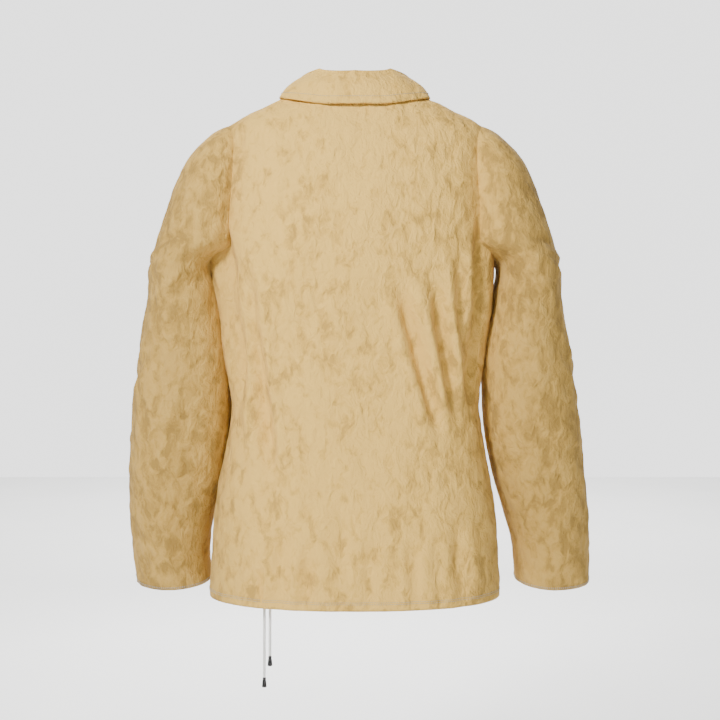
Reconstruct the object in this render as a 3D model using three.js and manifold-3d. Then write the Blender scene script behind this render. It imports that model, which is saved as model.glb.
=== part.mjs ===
// A hip-length collared jacket with a snap front, long set-in sleeves and a
// drawcord in its hem. Millimetres. +Z is up, the front faces -Y and the
// wearer's left is +X. The origin is the middle of the neck, level with the
// tops of the shoulders. A drop is a distance down from there.
import * as THREE from 'three';
import { mergeVertices } from 'three/addons/utils/BufferGeometryUtils.js';
import Module from 'manifold-3d';

const wasm = await Module();
wasm.setup();

// ---------------------------------------------------------------- sizes
// Body, from the neck down
const shoulderDrop = 57;
const armholeDrop = 235;
const waistDrop = 427;
const hemDrop = 695;
const neckHalfWidth = 80;
const shoulderHalfWidth = 192;
const chestHalfWidth = 193;
const waistHalfWidth = 172;
const hemHalfWidth = 201;
const neckFront = 62;
const chestFront = 140;
const waistFront = 124;
const hemFront = 138;
const neckBack = 55;
const chestBack = 109;
const waistBack = 101;
const hemBack = 122;
const squareness = 2.3;

// Neck opening, seen from above
const neckOpenHalfWidth = 82;
const neckOpenHalfDepth = 80;
const neckOpenForward = 18;

// Sleeves
const sleeveDrop = 683;
const upperArmWidth = 83;
const elbowWidth = 130;
const cuffWidth = 108;
const upperArmDepth = 164;
const elbowDepth = 136;
const cuffDepth = 98;
const armGap = 5;
const underarmWidth = 86;
const cuffGap = 17;
const cuffForward = 45;
const cuffSwing = { left: -11, right: 11 };
const cuffTilt = 0.2;

// Cloth layers, as depths below the outer face
const cloth = 1.6;
const facingCloth = 1.2;
const liningCloth = 0.8;
const sleeveLiningCloth = 1.6;
const layerGap = 0.5;
const seamGap = 0.6;
const liningDepth = 5.2;

// Front
const overlap = 15;
const underlapDepth = 6.6;
const facingReach = 28;
const hemTurn = 25;
const cuffTurn = 22;

// Collar
const standHeight = 25;
const standCloth = 2.0;
const leafCloth = 2.4;
const leafEdgeBack = 32;
const leafEdgeSide = 10;
const leafPointDrop = 112;
const leafLift = 3.5;
const foldInset = 2.6;
const foldSideways = 6;
const collarEnd = THREE.MathUtils.degToRad(174);

// Snaps
const snapCount = 5;
const firstSnapDrop = 118;
const lastSnapAboveHem = 52;
const capRadius = 6.5;
const socketRadius = 5.6;
const postRadius = 1.8;
const postClearance = 0.7;

// Line a front swings about: how far it stands off the cloth, and the drop of its top
const swingOffChest = 2;
const swingOffHem = 6;
const swingTopShare = 0.79;
const swingGap = 1.2;

// Hem drawcord
const cordRadius = 1.8;
const cordDepth = 4.7;
const channelWallDepth = 7.3;
const cordAboveHem = 12;
const channelEnd = 166;
const heldCordEnd = 118;
const eyeletRadius = 4;
const eyeletBore = 2.5;
const cordEndLong = { x: 127, drop: hemDrop + 95 };
const cordEndShort = { x: 118.4, drop: hemDrop + 66 };
const bellLength = 13;
const bellRadius = 2.8;

// Small pieces
const loopWidth = 56;
const loopLength = 20;
const loopCloth = 1.2;
const loopTape = 7;
const loopChamfer = 3;
const pocketLength = 140;
const pocketSlant = -0.16;
const pocketX = 84;
const pocketBagWidth = 62;
const pocketBagCloth = 1.4;
const weltCloth = 1.4;
const weltWidth = 18;
const pocketDrop = 470;
const neckFacingDepth = 58;

// ---------------------------------------------------------------- solids
function toManifold(geometry) {
  const source = geometry.clone();
  source.deleteAttribute('normal');
  source.deleteAttribute('uv');
  const merged = mergeVertices(source, 1e-4);
  const vertProperties = new Float32Array(merged.attributes.position.array);
  const triVerts = new Uint32Array(merged.index.array);
  let volume = 0;
  const a = new THREE.Vector3();
  const b = new THREE.Vector3();
  const c = new THREE.Vector3();
  for (let i = 0; i < triVerts.length; i += 3) {
    a.fromArray(vertProperties, 3 * triVerts[i]);
    b.fromArray(vertProperties, 3 * triVerts[i + 1]);
    c.fromArray(vertProperties, 3 * triVerts[i + 2]);
    volume += a.dot(b.cross(c));
  }
  if (volume < 0) triVerts.reverse();
  return new wasm.Manifold(new wasm.Mesh({ numProp: 3, vertProperties, triVerts }));
}

function toGeometry(solid) {
  const mesh = solid.getMesh();
  const geometry = new THREE.BufferGeometry();
  geometry.setAttribute('position', new THREE.BufferAttribute(mesh.vertProperties, 3));
  geometry.setIndex(new THREE.BufferAttribute(mesh.triVerts, 1));
  geometry.computeVertexNormals();
  return geometry;
}

function moveVertices(geometry, place) {
  const position = geometry.attributes.position;
  const point = new THREE.Vector3();
  for (let i = 0; i < position.count; i += 1) {
    point.fromBufferAttribute(position, i);
    const moved = place(point);
    position.setXYZ(i, moved.x, moved.y, moved.z);
  }
  return geometry;
}

// A point at a depth below a surface, along the surface's own normal.
function below(surface, u, v, depth) {
  const step = 1e-3;
  const point = surface(u, v);
  const alongU = surface(u + step, v).sub(surface(u - step, v));
  const alongV = surface(u, v + step).sub(surface(u, v - step));
  const outward = alongU.cross(alongV).normalize();
  return point.addScaledVector(outward, -depth);
}

// One layer of cloth on a surface, from one depth to another: a flat box bent onto it.
// The steps are the values of u and v where the cloth may bend.
function layer(surface, us, vs, depth, thickness) {
  const box = new THREE.BoxGeometry(1, 1, 1, us.length - 1, vs.length - 1, 1);
  return toManifold(moveVertices(box, (p) => {
    const u = us[Math.round((p.x + 0.5) * (us.length - 1))];
    const v = vs[Math.round((p.y + 0.5) * (vs.length - 1))];
    return below(surface, u, v, p.z > 0 ? depth : depth + thickness);
  }));
}

// A layer that goes all the way round: a ring-shaped lathe bent onto the surface.
function tubeLayer(surface, steps, vs, depth, thickness) {
  const last = vs.length - 1;
  const profile = vs.map((v, i) => new THREE.Vector2(2, i));
  profile.push(...vs.map((v, i) => new THREE.Vector2(1, last - i)));
  profile.push(profile[0].clone());
  const lathe = new THREE.LatheGeometry(profile, steps);
  return toManifold(moveVertices(lathe, (p) => {
    const u = Math.atan2(p.x, p.z);
    const inner = Math.hypot(p.x, p.z) < 1.5;
    return below(surface, u, vs[Math.round(p.y)], inner ? depth + thickness : depth);
  }));
}

// The whole inside of a surface as a closed solid, grown outward by a clearance.
function core(surface, steps, vs, clearance) {
  const last = vs.length - 1;
  const cylinder = new THREE.CylinderGeometry(1, 1, last, steps, last);
  return toManifold(moveVertices(cylinder, (p) => {
    const v = vs[Math.round(last / 2 - p.y)];
    if (Math.hypot(p.x, p.z) < 0.5) {
      return surface(0, v).add(surface(Math.PI, v)).multiplyScalar(0.5);
    }
    return below(surface, Math.atan2(p.x, p.z), v, -clearance);
  }));
}

function slab(minX, maxX, minY, maxY, minZ, maxZ) {
  const box = new THREE.BoxGeometry(maxX - minX, maxY - minY, maxZ - minZ);
  box.translate((minX + maxX) / 2, (minY + maxY) / 2, (minZ + maxZ) / 2);
  return toManifold(box);
}

function range(from, to, steps) {
  return Array.from({ length: steps + 1 }, (_, i) => from + (to - from) * i / steps);
}

// The lines of a shared grid between two values, with both ends.
function gridBetween(grid, from, to) {
  const margin = 0.15 * Math.abs(grid[1] - grid[0]);
  return [from, ...grid.filter((g) => g > from + margin && g < to - margin), to];
}

const degrees = THREE.MathUtils.degToRad;
const mix = THREE.MathUtils.lerp;

// ---------------------------------------------------------------- body surface
function shoulderRing(dropShare, widthShare, frontShare, backShare) {
  return [
    dropShare * shoulderDrop,
    mix(neckHalfWidth, shoulderHalfWidth, widthShare),
    mix(neckFront, chestFront, frontShare),
    mix(neckBack, chestBack, backShare),
  ];
}

const hipShare = 0.57;
const bodyRings = [
  [0, neckHalfWidth, neckFront, neckBack],
  shoulderRing(0.35, 0.40, 0.15, 0.28),
  shoulderRing(0.70, 0.76, 0.28, 0.46),
  shoulderRing(1.00, 0.97, 0.41, 0.60),
  shoulderRing(1.50, 1.00, 0.56, 0.77),
  [0.6 * armholeDrop, chestHalfWidth, mix(neckFront, chestFront, 0.80), mix(neckBack, chestBack, 0.94)],
  [armholeDrop, chestHalfWidth, chestFront, chestBack],
  [waistDrop, waistHalfWidth, waistFront, waistBack],
  [mix(waistDrop, hemDrop, hipShare), mix(waistHalfWidth, hemHalfWidth, 0.78),
    mix(waistFront, hemFront, 0.5), mix(waistBack, hemBack, 0.57)],
  [hemDrop, hemHalfWidth, hemFront, hemBack],
];
const bodyProfile = new THREE.CubicInterpolant(
  bodyRings.map((ring) => ring[0]),
  bodyRings.flatMap((ring) => ring.slice(1)),
  3,
);

// Half width, front depth and back depth of the body at a drop.
function bodySize(drop) {
  const [halfWidth, front, back] = bodyProfile.evaluate(drop);
  return { halfWidth, front, back };
}

// Around is 0 at the middle of the back, 90 degrees at the wearer's left, 180 at the front.
function bodySurface(around, drop) {
  const { halfWidth, front, back } = bodySize(drop);
  const s = Math.sin(around);
  const c = Math.cos(around);
  const power = 2 / squareness;
  const x = halfWidth * Math.sign(s) * Math.abs(s) ** power;
  const y = (c > 0 ? back : front) * Math.sign(c) * Math.abs(c) ** power;
  return new THREE.Vector3(x, y, -drop);
}

// The right front lies under the left one: towards the middle it sinks below the surface.
function underlapSurface(around, drop) {
  const point = bodySurface(around, drop);
  const share = 1 - THREE.MathUtils.smoothstep(-point.x, overlap + 8, overlap + 45);
  point.y += underlapDepth * share;
  return point;
}

// Y of the body at the front or back (toward -1 or 1) for an x and a drop.
function bodyY(x, drop, toward) {
  const { halfWidth, front, back } = bodySize(drop);
  const share = (1 - Math.min(1, Math.abs(x / halfWidth)) ** squareness) ** (1 / squareness);
  return toward * (toward > 0 ? back : front) * share;
}

// The drop at which the sloping shoulders pass through a point of the plan.
function bodyDrop(x, y) {
  let high = 0;
  let low = armholeDrop;
  for (let i = 0; i < 40; i += 1) {
    const drop = (high + low) / 2;
    const { halfWidth, front, back } = bodySize(drop);
    const depth = y > 0 ? back : front;
    const reach = Math.abs(x / halfWidth) ** squareness + Math.abs(y / depth) ** squareness;
    if (reach > 1) high = drop;
    else low = drop;
  }
  return (high + low) / 2;
}

// Rows and columns along which the cloth of the body may bend.
const shoulderRows = [0, 0.25, 0.5, 0.75, 1, 1.3].map((share) => share * shoulderDrop);
const chestRows = range(1.7 * shoulderDrop, armholeDrop, 3);
const waistRows = range(armholeDrop, waistDrop, 3).slice(1);
const hipRows = range(waistDrop, hemDrop, 3).slice(1);
const bodyRows = [...shoulderRows, ...chestRows, ...waistRows, ...hipRows];
const bodyColumns = range(degrees(-210), degrees(210), 42);

function bodyLayer(from, to, fromDrop, toDrop, depth, thickness, surface = bodySurface) {
  const columns = gridBetween(bodyColumns, degrees(from), degrees(to));
  const rows = gridBetween(bodyRows, fromDrop, toDrop);
  return layer(surface, columns, rows, depth, thickness);
}

function bodyLining(from, to, fromDrop, toDrop, surface = bodySurface) {
  const columns = gridBetween(bodyColumns, degrees(from), degrees(to));
  const rows = gridBetween(bodyRows, fromDrop, toDrop);
  return layer(surface, columns, rows, liningDepth, liningCloth);
}

// ---------------------------------------------------------------- sleeve surface
// Above the underarm the sleeve reaches into the body, where it is cut away.
// Each head ring: share of the armhole drop, inset and outset from the shoulder's
// end as shares of the upper arm's width, and share of the upper arm's depth.
const headRings = [
  [0.185, 0.50, -0.290, 0.20],
  [0.205, 0.57, -0.155, 0.36],
  [0.243, 0.63, 0.060, 0.55],
  [0.315, 0.65, 0.290, 0.71],
  [0.387, 0.65, 0.470, 0.80],
  [0.460, 0.63, 0.590, 0.87],
  [0.604, 0.58, 0.760, 0.94],
  [0.817, 0.51, 0.940, 1.00],
  [0.915, 0.43, 1.000, 1.01],
];
// Each arm ring: share of the way from underarm to cuff, gap to the body, width, depth
// and how far the arm hangs forward, as a share of its forward reach at the cuff.
const armRings = [
  [0.01, armGap, underarmWidth, upperArmDepth, 0],
  [0.12, armGap, mix(upperArmWidth, elbowWidth, 0.30), mix(upperArmDepth, elbowDepth, 0.40), 0.03],
  [0.27, armGap + 0.5, mix(upperArmWidth, elbowWidth, 0.73), mix(upperArmDepth, elbowDepth, 0.80), 0.08],
  [0.42, armGap + 4, elbowWidth, elbowDepth, 0.20],
  [0.57, armGap + 2, elbowWidth + 3, elbowDepth - 4, 0.42],
  [0.72, armGap + 3, mix(cuffWidth, elbowWidth, 0.78), mix(cuffDepth, elbowDepth, 0.66), 0.66],
  [0.88, cuffGap, cuffWidth + 2, cuffDepth + 10, 0.86],
  [1.00, cuffGap, cuffWidth, cuffDepth, 1],
];

function sleeveRing(side, ring) {
  const [share, gap, width, depth, forward] = ring;
  const drop = mix(armholeDrop, sleeveDrop, share);
  const swing = cuffSwing[side] * Math.max(0, (share - 0.42) / 0.58) ** 1.3;
  const inner = bodySize(Math.min(drop, hemDrop)).halfWidth + gap + swing;
  return [drop, inner + width / 2, width / 2, depth / 2, cuffForward * forward, cuffTilt * forward ** 2];
}

function sleeveHeadRing(ring) {
  const [share, inset, outset, depth] = ring;
  const inner = shoulderHalfWidth - inset * upperArmWidth;
  const outer = shoulderHalfWidth + outset * upperArmWidth;
  return [share * armholeDrop, (inner + outer) / 2, (outer - inner) / 2, depth * upperArmDepth / 2, 0, 0];
}

// Along is the number of the ring, with values between rings blended smoothly.
function sleeveSurface(side) {
  const rings = [...headRings.map(sleeveHeadRing), ...armRings.map((ring) => sleeveRing(side, ring))];
  const profile = new THREE.CubicInterpolant(rings.map((_, i) => i), rings.flat(), 6);
  const toward = side === 'left' ? 1 : -1;
  return (around, along) => {
    const [drop, middle, halfWidth, halfDepth, forward, tilt] = profile.evaluate(along);
    const y = halfDepth * Math.cos(around);
    return new THREE.Vector3(
      toward * middle + halfWidth * Math.sin(around),
      y - forward,
      -drop - tilt * y,
    );
  };
}

const sleeveColumns = 14;
const cuffRing = headRings.length + armRings.length - 1;
const sleeveRows = [0, 1, 2, 3, 5, 6, 8, ...range(9, cuffRing, cuffRing - 9)];
// How many rings the turned-up cuff takes, from the length of the last ring's stretch.
const cuffTurnRings = cuffTurn / (0.12 * (sleeveDrop - armholeDrop));

// ---------------------------------------------------------------- cutters
const far = 600;
const bodyColumnCount = 36;
const bodyCore = core(bodySurface, bodyColumnCount, bodyRows, seamGap);
const sleeveCores = ['left', 'right'].map(
  (side) => core(sleeveSurface(side), sleeveColumns, sleeveRows, seamGap),
);

function neckRing(angle, inset) {
  return new THREE.Vector2(
    (neckOpenHalfWidth - inset) * Math.sin(angle),
    (neckOpenHalfDepth - inset) * Math.cos(angle) - neckOpenForward,
  );
}

const neckCutter = (() => {
  const cylinder = new THREE.CylinderGeometry(1, 1, 2 * armholeDrop, 40, 1);
  cylinder.rotateX(Math.PI / 2);
  cylinder.scale(neckOpenHalfWidth, neckOpenHalfDepth, 1);
  cylinder.translate(0, -neckOpenForward, 0);
  return toManifold(cylinder);
})();

// The line a front swings about when it is opened. It lies just off the cloth at the chest
// and the hem, and off it everywhere else, so that no layer meets its neighbour as it swings.
const swingChestX = 0.56 * chestHalfWidth;
const swingChest = new THREE.Vector3(
  swingChestX,
  bodyY(swingChestX, armholeDrop, -1) - swingOffChest,
  -armholeDrop,
);
const swingHemX = 0.75 * hemHalfWidth;
const swingHem = new THREE.Vector3(swingHemX, bodyY(swingHemX, hemDrop, -1) - swingOffHem, -hemDrop);
const swingTop = swingChest.clone().lerp(
  swingHem,
  (swingTopShare * shoulderDrop - armholeDrop) / (hemDrop - armholeDrop),
);
const swingLean = new THREE.Vector3(-0.35, 0.94, 0).normalize();

// The space on a front's own side of its swing line, or the rest, divided by a plane that
// runs from the line back to the side of the neck.
function swingCutter(side, outboard) {
  const along = swingTop.clone().sub(swingHem).normalize();
  const out = swingLean.clone().cross(along).normalize();
  const across = along.clone().cross(out).normalize();
  const size = 4 * far;
  const box = new THREE.BoxGeometry(size, size, size);
  box.translate((outboard ? 1 : -1) * (size / 2 - swingGap / 2), 0, 0);
  box.applyMatrix4(new THREE.Matrix4().makeBasis(out, across, along).setPosition(swingTop));
  if (side === 'right') box.scale(-1, 1, 1);
  return toManifold(box);
}

const outboardOf = { left: swingCutter('left', true), right: swingCutter('right', true) };
const inboardOf = { left: swingCutter('left', false), right: swingCutter('right', false) };

function openNeckAndArms(solid) {
  return solid.subtract(neckCutter).subtract(sleeveCores[0]).subtract(sleeveCores[1]);
}

// ---------------------------------------------------------------- materials
function finish(name, color, roughness, metalness = 0) {
  return new THREE.MeshStandardMaterial({ name, color, roughness, metalness });
}
const suede = () => finish('suede_cloth', '#d3ba91', 0.9);
const satin = () => finish('satin_lining', '#b39c78', 0.55);
const gunmetal = () => finish('gunmetal', '#4b4a4a', 0.35, 0.9);
const braid = () => finish('white_braid', '#efeee9', 0.85);
const tape = () => finish('woven_tape', '#c9b48e', 0.85);
const pocketCotton = () => finish('pocket_cotton', '#cbb78f', 0.85);

const jacket = new THREE.Group();
jacket.name = 'jacket';

function add(name, solidOrGeometry, material) {
  const geometry = solidOrGeometry.isBufferGeometry ? solidOrGeometry : toGeometry(solidOrGeometry);
  const mesh = new THREE.Mesh(geometry, material);
  mesh.name = name;
  jacket.add(mesh);
  return mesh;
}

// ---------------------------------------------------------------- snaps
const snapDrops = range(firstSnapDrop, hemDrop - lastSnapAboveHem, snapCount - 1);

// Stands a lathed piece on the body, its own y being the depth below the cloth's face.
// The cloth is straight between its rows, so the piece stands on that straight stretch.
function placeOnBody(object, around, drop) {
  const next = bodyRows.findIndex((row) => row >= drop);
  const upper = bodySurface(around, bodyRows[next - 1]);
  const lower = bodySurface(around, bodyRows[next]);
  const share = (drop - bodyRows[next - 1]) / (bodyRows[next] - bodyRows[next - 1]);
  const across = bodySurface(around - 0.01, drop).sub(bodySurface(around + 0.01, drop));
  const inward = across.cross(lower.clone().sub(upper)).normalize();
  object.quaternion.setFromUnitVectors(new THREE.Vector3(0, 1, 0), inward);
  object.position.copy(upper.lerp(lower, share));
  object.updateMatrix();
  return object;
}

function punch(solid, radius, around, drop) {
  const pin = placeOnBody(new THREE.Object3D(), around, drop);
  const cylinder = new THREE.CylinderGeometry(radius, radius, 40, 6);
  return solid.subtract(toManifold(cylinder.applyMatrix4(pin.matrix)));
}

function punchForSnaps(solid) {
  return snapDrops.reduce((cut, drop) => punch(cut, postRadius + postClearance, Math.PI, drop), solid);
}

function lathe(points, sides = 8) {
  return new THREE.LatheGeometry(points.map(([radius, y]) => new THREE.Vector2(radius, y)), sides);
}

const facingBack = cloth + layerGap + facingCloth;
const postEnd = facingBack + 0.1;
const socketTop = facingBack + layerGap;
const socketBottom = socketTop + 1.4;
const studTop = socketTop + 0.2;
const studFlange = underlapDepth - layerGap - 0.4;
const studPlate = underlapDepth + facingBack + layerGap;
const capShape = [
  [0, -2.7], [0.6 * capRadius, -2.5], [0.92 * capRadius, -1.7], [capRadius, -1],
  [capRadius, -layerGap], [postRadius, -layerGap], [postRadius, postEnd], [0, postEnd],
];
const socketShape = [
  [postRadius + 1.1, socketTop], [socketRadius, socketTop], [socketRadius, socketBottom],
  [postRadius + 1.1, socketBottom], [postRadius + 1.1, socketTop],
];
const studShape = [
  [0, studTop], [postRadius + 0.5, studTop + 0.2], [postRadius + 0.5, studTop + 1],
  [postRadius, studFlange], [0.85 * socketRadius, studFlange], [0.85 * socketRadius, studFlange + 0.4],
  [postRadius, studFlange + 0.4], [postRadius, studPlate], [0.85 * socketRadius, studPlate],
  [0.85 * socketRadius, studPlate + 0.8], [0, studPlate + 0.8],
];

// ---------------------------------------------------------------- body panels
const sideSeam = 90;
const seamAngle = 0.12;
const frontEdge = 197;
const liningTop = neckFacingDepth + 2;
const liningHem = hemDrop - hemTurn - 4;

add('back_panel', openNeckAndArms(
  bodyLayer(-sideSeam + seamAngle, sideSeam - seamAngle, 0, hemDrop, 0, cloth),
), suede());

add('back_lining', openNeckAndArms(
  bodyLining(-sideSeam + 0.4, sideSeam - 0.4, 0, liningHem)
    .subtract(slab(-neckFacingDepth - 40, neckFacingDepth + 40, 0, far, -liningTop, 20)),
), satin());

add('back_neck_facing', openNeckAndArms(
  bodyLining(-80, 80, 0, neckFacingDepth + 8)
    .intersect(slab(-neckFacingDepth - 38, neckFacingDepth + 38, 2, far, 1 - neckFacingDepth, 20)),
), suede());

// A front in its layers, before it is divided at the swing line. Ways of x count
// toward the side's own sleeve, so -overlap is the edge past the middle.
function sideSlab(side, from, to) {
  const toward = side === 'left' ? 1 : -1;
  return slab(Math.min(toward * from, toward * to), Math.max(toward * from, toward * to),
    -far, far, -2 * far, far);
}

function frontLayer(side, fromDrop, toDrop, depth, thickness) {
  const angles = side === 'left' ? [sideSeam + seamAngle, frontEdge] : [-frontEdge, -sideSeam - seamAngle];
  const surface = side === 'left' ? bodySurface : underlapSurface;
  const solid = bodyLayer(...angles, fromDrop, toDrop, depth, thickness, surface);
  return openNeckAndArms(solid.intersect(sideSlab(side, -overlap, far)));
}

function frontLining(side) {
  const angles = side === 'left' ? [sideSeam + 0.4, frontEdge] : [-frontEdge, -sideSeam - 0.4];
  const surface = side === 'left' ? bodySurface : underlapSurface;
  const solid = bodyLining(...angles, 0, liningHem, surface);
  return openNeckAndArms(solid.intersect(sideSlab(side, facingReach + 1, far)));
}

for (const side of ['left', 'right']) {
  const outer = punchForSnaps(frontLayer(side, 0, hemDrop, 0, cloth));
  const facing = punchForSnaps(
    frontLayer(side, 0, hemDrop - hemTurn - 1, cloth + layerGap, facingCloth),
  );
  const hem = frontLayer(side, hemDrop - hemTurn, hemDrop - 1, cloth + layerGap, facingCloth);
  const lining = frontLining(side);
  add(`${side}_front_panel`, outer.subtract(outboardOf[side]), suede());
  add(`${side}_side_panel`, outer.subtract(inboardOf[side]), suede());
  add(`${side}_front_lining`, lining.subtract(outboardOf[side]), satin());
  add(`${side}_side_lining`, lining.subtract(inboardOf[side]), satin());
  add(`${side}_front_facing`, facing.intersect(sideSlab(side, -overlap, facingReach)), suede());
  add(`${side}_front_hem`, hem.subtract(outboardOf[side]), suede());
}

// ---------------------------------------------------------------- sleeves
for (const side of ['left', 'right']) {
  const surface = sleeveSurface(side);
  const turnTop = cuffRing - cuffTurnRings;
  const liningVs = [...sleeveRows.filter((v) => v < turnTop - 0.3), turnTop - 0.05];
  add(`${side}_sleeve`, tubeLayer(surface, sleeveColumns, sleeveRows, 0, cloth).subtract(bodyCore), suede());
  add(`${side}_sleeve_lining`,
    tubeLayer(surface, sleeveColumns, liningVs, liningDepth, sleeveLiningCloth).subtract(bodyCore), satin());
  add(`${side}_cuff_facing`,
    tubeLayer(surface, sleeveColumns, [turnTop, cuffRing - 0.01], cloth + 2 * layerGap, facingCloth), suede());
}
// ---------------------------------------------------------------- collar
// Angles round the collar are 0 at the middle of the back. The stand rises inside
// the neck opening, and the leaf turns over it and lies on the shoulders.
function neckDrop(angle) {
  const edge = neckRing(angle, 0);
  return bodyDrop(edge.x, edge.y);
}

function foldPoint(angle) {
  const sideways = Math.abs(Math.sin(angle));
  const front = Math.max(0, -Math.cos(angle));
  const edge = neckRing(angle, foldInset + foldSideways * sideways);
  const rise = standHeight - foldSideways * sideways + 2 * front;
  return new THREE.Vector3(edge.x, edge.y, rise - neckDrop(angle));
}

function standSurface(angle, down) {
  const foot = neckRing(angle, seamGap);
  const bottom = new THREE.Vector3(foot.x, foot.y, -neckDrop(angle) - 4);
  return foldPoint(angle).lerp(bottom, down);
}

// The leaf's edge: its drop is set round the neck, and it rests just off the body there.
function leafEdge(angle) {
  const turn = Math.abs(angle);
  const half = Math.PI / 2;
  const drop = turn < half
    ? mix(leafEdgeBack, leafEdgeSide, THREE.MathUtils.smoothstep(turn, 0.35, half))
    : mix(leafEdgeSide, leafPointDrop, ((turn - half) / (collarEnd - half)) ** 1.25);
  const flare = 0.5 * THREE.MathUtils.smoothstep(turn, 0.8 * Math.PI, collarEnd);
  const heading = Math.sign(angle) * (turn - flare);
  const { halfWidth, front, back } = bodySize(drop);
  const x = Math.sin(heading);
  const y = Math.cos(heading);
  const depth = y > 0 ? back : front;
  const reach = (Math.abs(x / halfWidth) ** squareness + Math.abs(y / depth) ** squareness)
    ** (-1 / squareness) + leafLift;
  return new THREE.Vector3(x * reach, y * reach, -drop);
}

function leafSurface(angle, out) {
  const fold = foldPoint(angle);
  const heading = new THREE.Vector3(Math.sin(angle), Math.cos(angle), 0);
  fold.addScaledVector(heading, standCloth + 0.8).add(new THREE.Vector3(0, 0, 2));
  const point = fold.lerp(leafEdge(angle), out);
  const crown = Math.sin(Math.PI * Math.min(1, out)) * 4;
  return point.addScaledVector(heading, crown).add(new THREE.Vector3(0, 0, crown * 0.5));
}

const collarAngles = range(-collarEnd, collarEnd, 36);
const stand = layer(standSurface, collarAngles, [0, 1], 0, standCloth);
const leaf = layer(leafSurface, collarAngles, [0, 0.25, 0.5, 0.75, 1], -leafCloth, leafCloth);
const collarFrontY = -0.55 * neckOpenHalfDepth - neckOpenForward;
const frontOfNeck = slab(-far, far, -far, collarFrontY, -far, far);
const frontOfNeckAndGap = slab(-far, far, -far, collarFrontY + swingGap, -far, far);
const betweenSwings = inboardOf.left.intersect(inboardOf.right).intersect(frontOfNeckAndGap);
for (const [name, solid] of [['stand', stand], ['leaf', leaf]]) {
  add(`collar_${name}`, solid.subtract(betweenSwings), suede());
  for (const side of ['left', 'right']) {
    const end = solid.intersect(sideSlab(side, 1, far)).intersect(frontOfNeck);
    add(`${side}_collar_${name}_end`, end.subtract(outboardOf[side]), suede());
  }
}

// ---------------------------------------------------------------- neck trim
const loopFlat = loopWidth / 2 - loopCloth - loopChamfer;
const loopFloor = loopCloth - loopLength;
const loopShape = new THREE.Shape();
loopShape.moveTo(-loopWidth / 2, 0);
loopShape.lineTo(-loopWidth / 2, -loopLength);
loopShape.lineTo(loopWidth / 2, -loopLength);
loopShape.lineTo(loopWidth / 2, 0);
loopShape.lineTo(loopFlat + loopChamfer, 0);
loopShape.lineTo(loopFlat + loopChamfer, loopFloor + loopChamfer);
loopShape.lineTo(loopFlat, loopFloor);
loopShape.lineTo(-loopFlat, loopFloor);
loopShape.lineTo(-loopFlat - loopChamfer, loopFloor + loopChamfer);
loopShape.lineTo(-loopFlat - loopChamfer, 0);
const loopGeometry = new THREE.ExtrudeGeometry(loopShape, { depth: loopTape, bevelEnabled: false });
loopGeometry.rotateX(Math.PI / 2);
const hangerLoop = add('hanger_loop', loopGeometry, tape());
const loopHalfAngle = Math.asin(loopWidth / 2 / neckOpenHalfWidth);
hangerLoop.position.set(0, neckRing(loopHalfAngle, standCloth + 2).y, -neckDrop(0));

const labelDepth = liningDepth + liningCloth + 4 * layerGap;
add('neck_label', layer(
  bodySurface,
  range(degrees(-8), degrees(8), 4),
  range(0.38 * neckFacingDepth, 0.74 * neckFacingDepth, 2),
  labelDepth,
  0.6,
), finish('label_satin', '#e4d9c2', 0.6));

// ---------------------------------------------------------------- pockets
// A slanting pocket opening on each front, with its welt outside and its flat bag inside.
function pocketSlab(side, width, length, offset) {
  const box = new THREE.BoxGeometry(width, far, length);
  box.translate(offset, 0, 0);
  box.rotateY(pocketSlant);
  box.translate(pocketX, -chestFront, -pocketDrop);
  if (side === 'right') box.scale(-1, 1, 1);
  return toManifold(box);
}

for (const side of ['left', 'right']) {
  const welt = frontLayer(side, 0, hemDrop, -weltCloth - layerGap, weltCloth);
  add(`${side}_pocket_welt`, welt.intersect(pocketSlab(side, weltWidth, pocketLength, 0)), suede());
  const bag = frontLayer(side, 0, hemDrop, cloth + layerGap, pocketBagCloth);
  const bagSlab = pocketSlab(side, pocketBagWidth, pocketLength + 10, -pocketBagWidth / 2 + weltWidth / 2);
  add(`${side}_pocket_bag`, bag.intersect(bagSlab)
    .intersect(sideSlab(side, facingReach + 1, far)).subtract(outboardOf[side]), pocketCotton());
}

snapDrops.forEach((drop, i) => {
  for (const [part, shape] of [['cap', capShape], ['socket', socketShape], ['stud', studShape]]) {
    placeOnBody(add(`snap_${part}_${i + 1}`, lathe(shape), gunmetal()), Math.PI, drop);
  }
});

// ---------------------------------------------------------------- hem and drawcord
function hemAngle(x) {
  return Math.asin((x / hemHalfWidth) ** (squareness / 2));
}

const cordDrop = hemDrop - cordAboveHem;
const channelTop = hemDrop - hemTurn;

const channelBlock = bodyLayer(-channelEnd, channelEnd, channelTop, hemDrop - 1,
  cloth + layerGap, channelWallDepth + facingCloth - cloth - layerGap);
const channelHollow = bodyLayer(-channelEnd, channelEnd, channelTop + facingCloth,
  hemDrop - 1 - facingCloth, 0, channelWallDepth);
const frontHalf = slab(-far, far, -far, -0.3 * hemFront, -2 * far, far);
let channel = channelBlock.subtract(channelHollow)
  .subtract(inboardOf.left.intersect(inboardOf.right).intersect(frontHalf));
for (const end of [cordEndLong, cordEndShort]) {
  channel = punch(channel, eyeletBore + 1, hemAngle(end.x), cordDrop);
}
add('hem_channel', channel, suede());

const cordSection = new THREE.Shape(range(0, 2 * Math.PI, 8).slice(0, 8).map(
  (angle) => new THREE.Vector2(cordRadius * Math.cos(angle), cordRadius * Math.sin(angle)),
));

function cordAlong(points, steps) {
  const extrudePath = new THREE.CatmullRomCurve3(points, false, 'centripetal');
  return new THREE.ExtrudeGeometry(cordSection, { steps, extrudePath });
}

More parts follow.
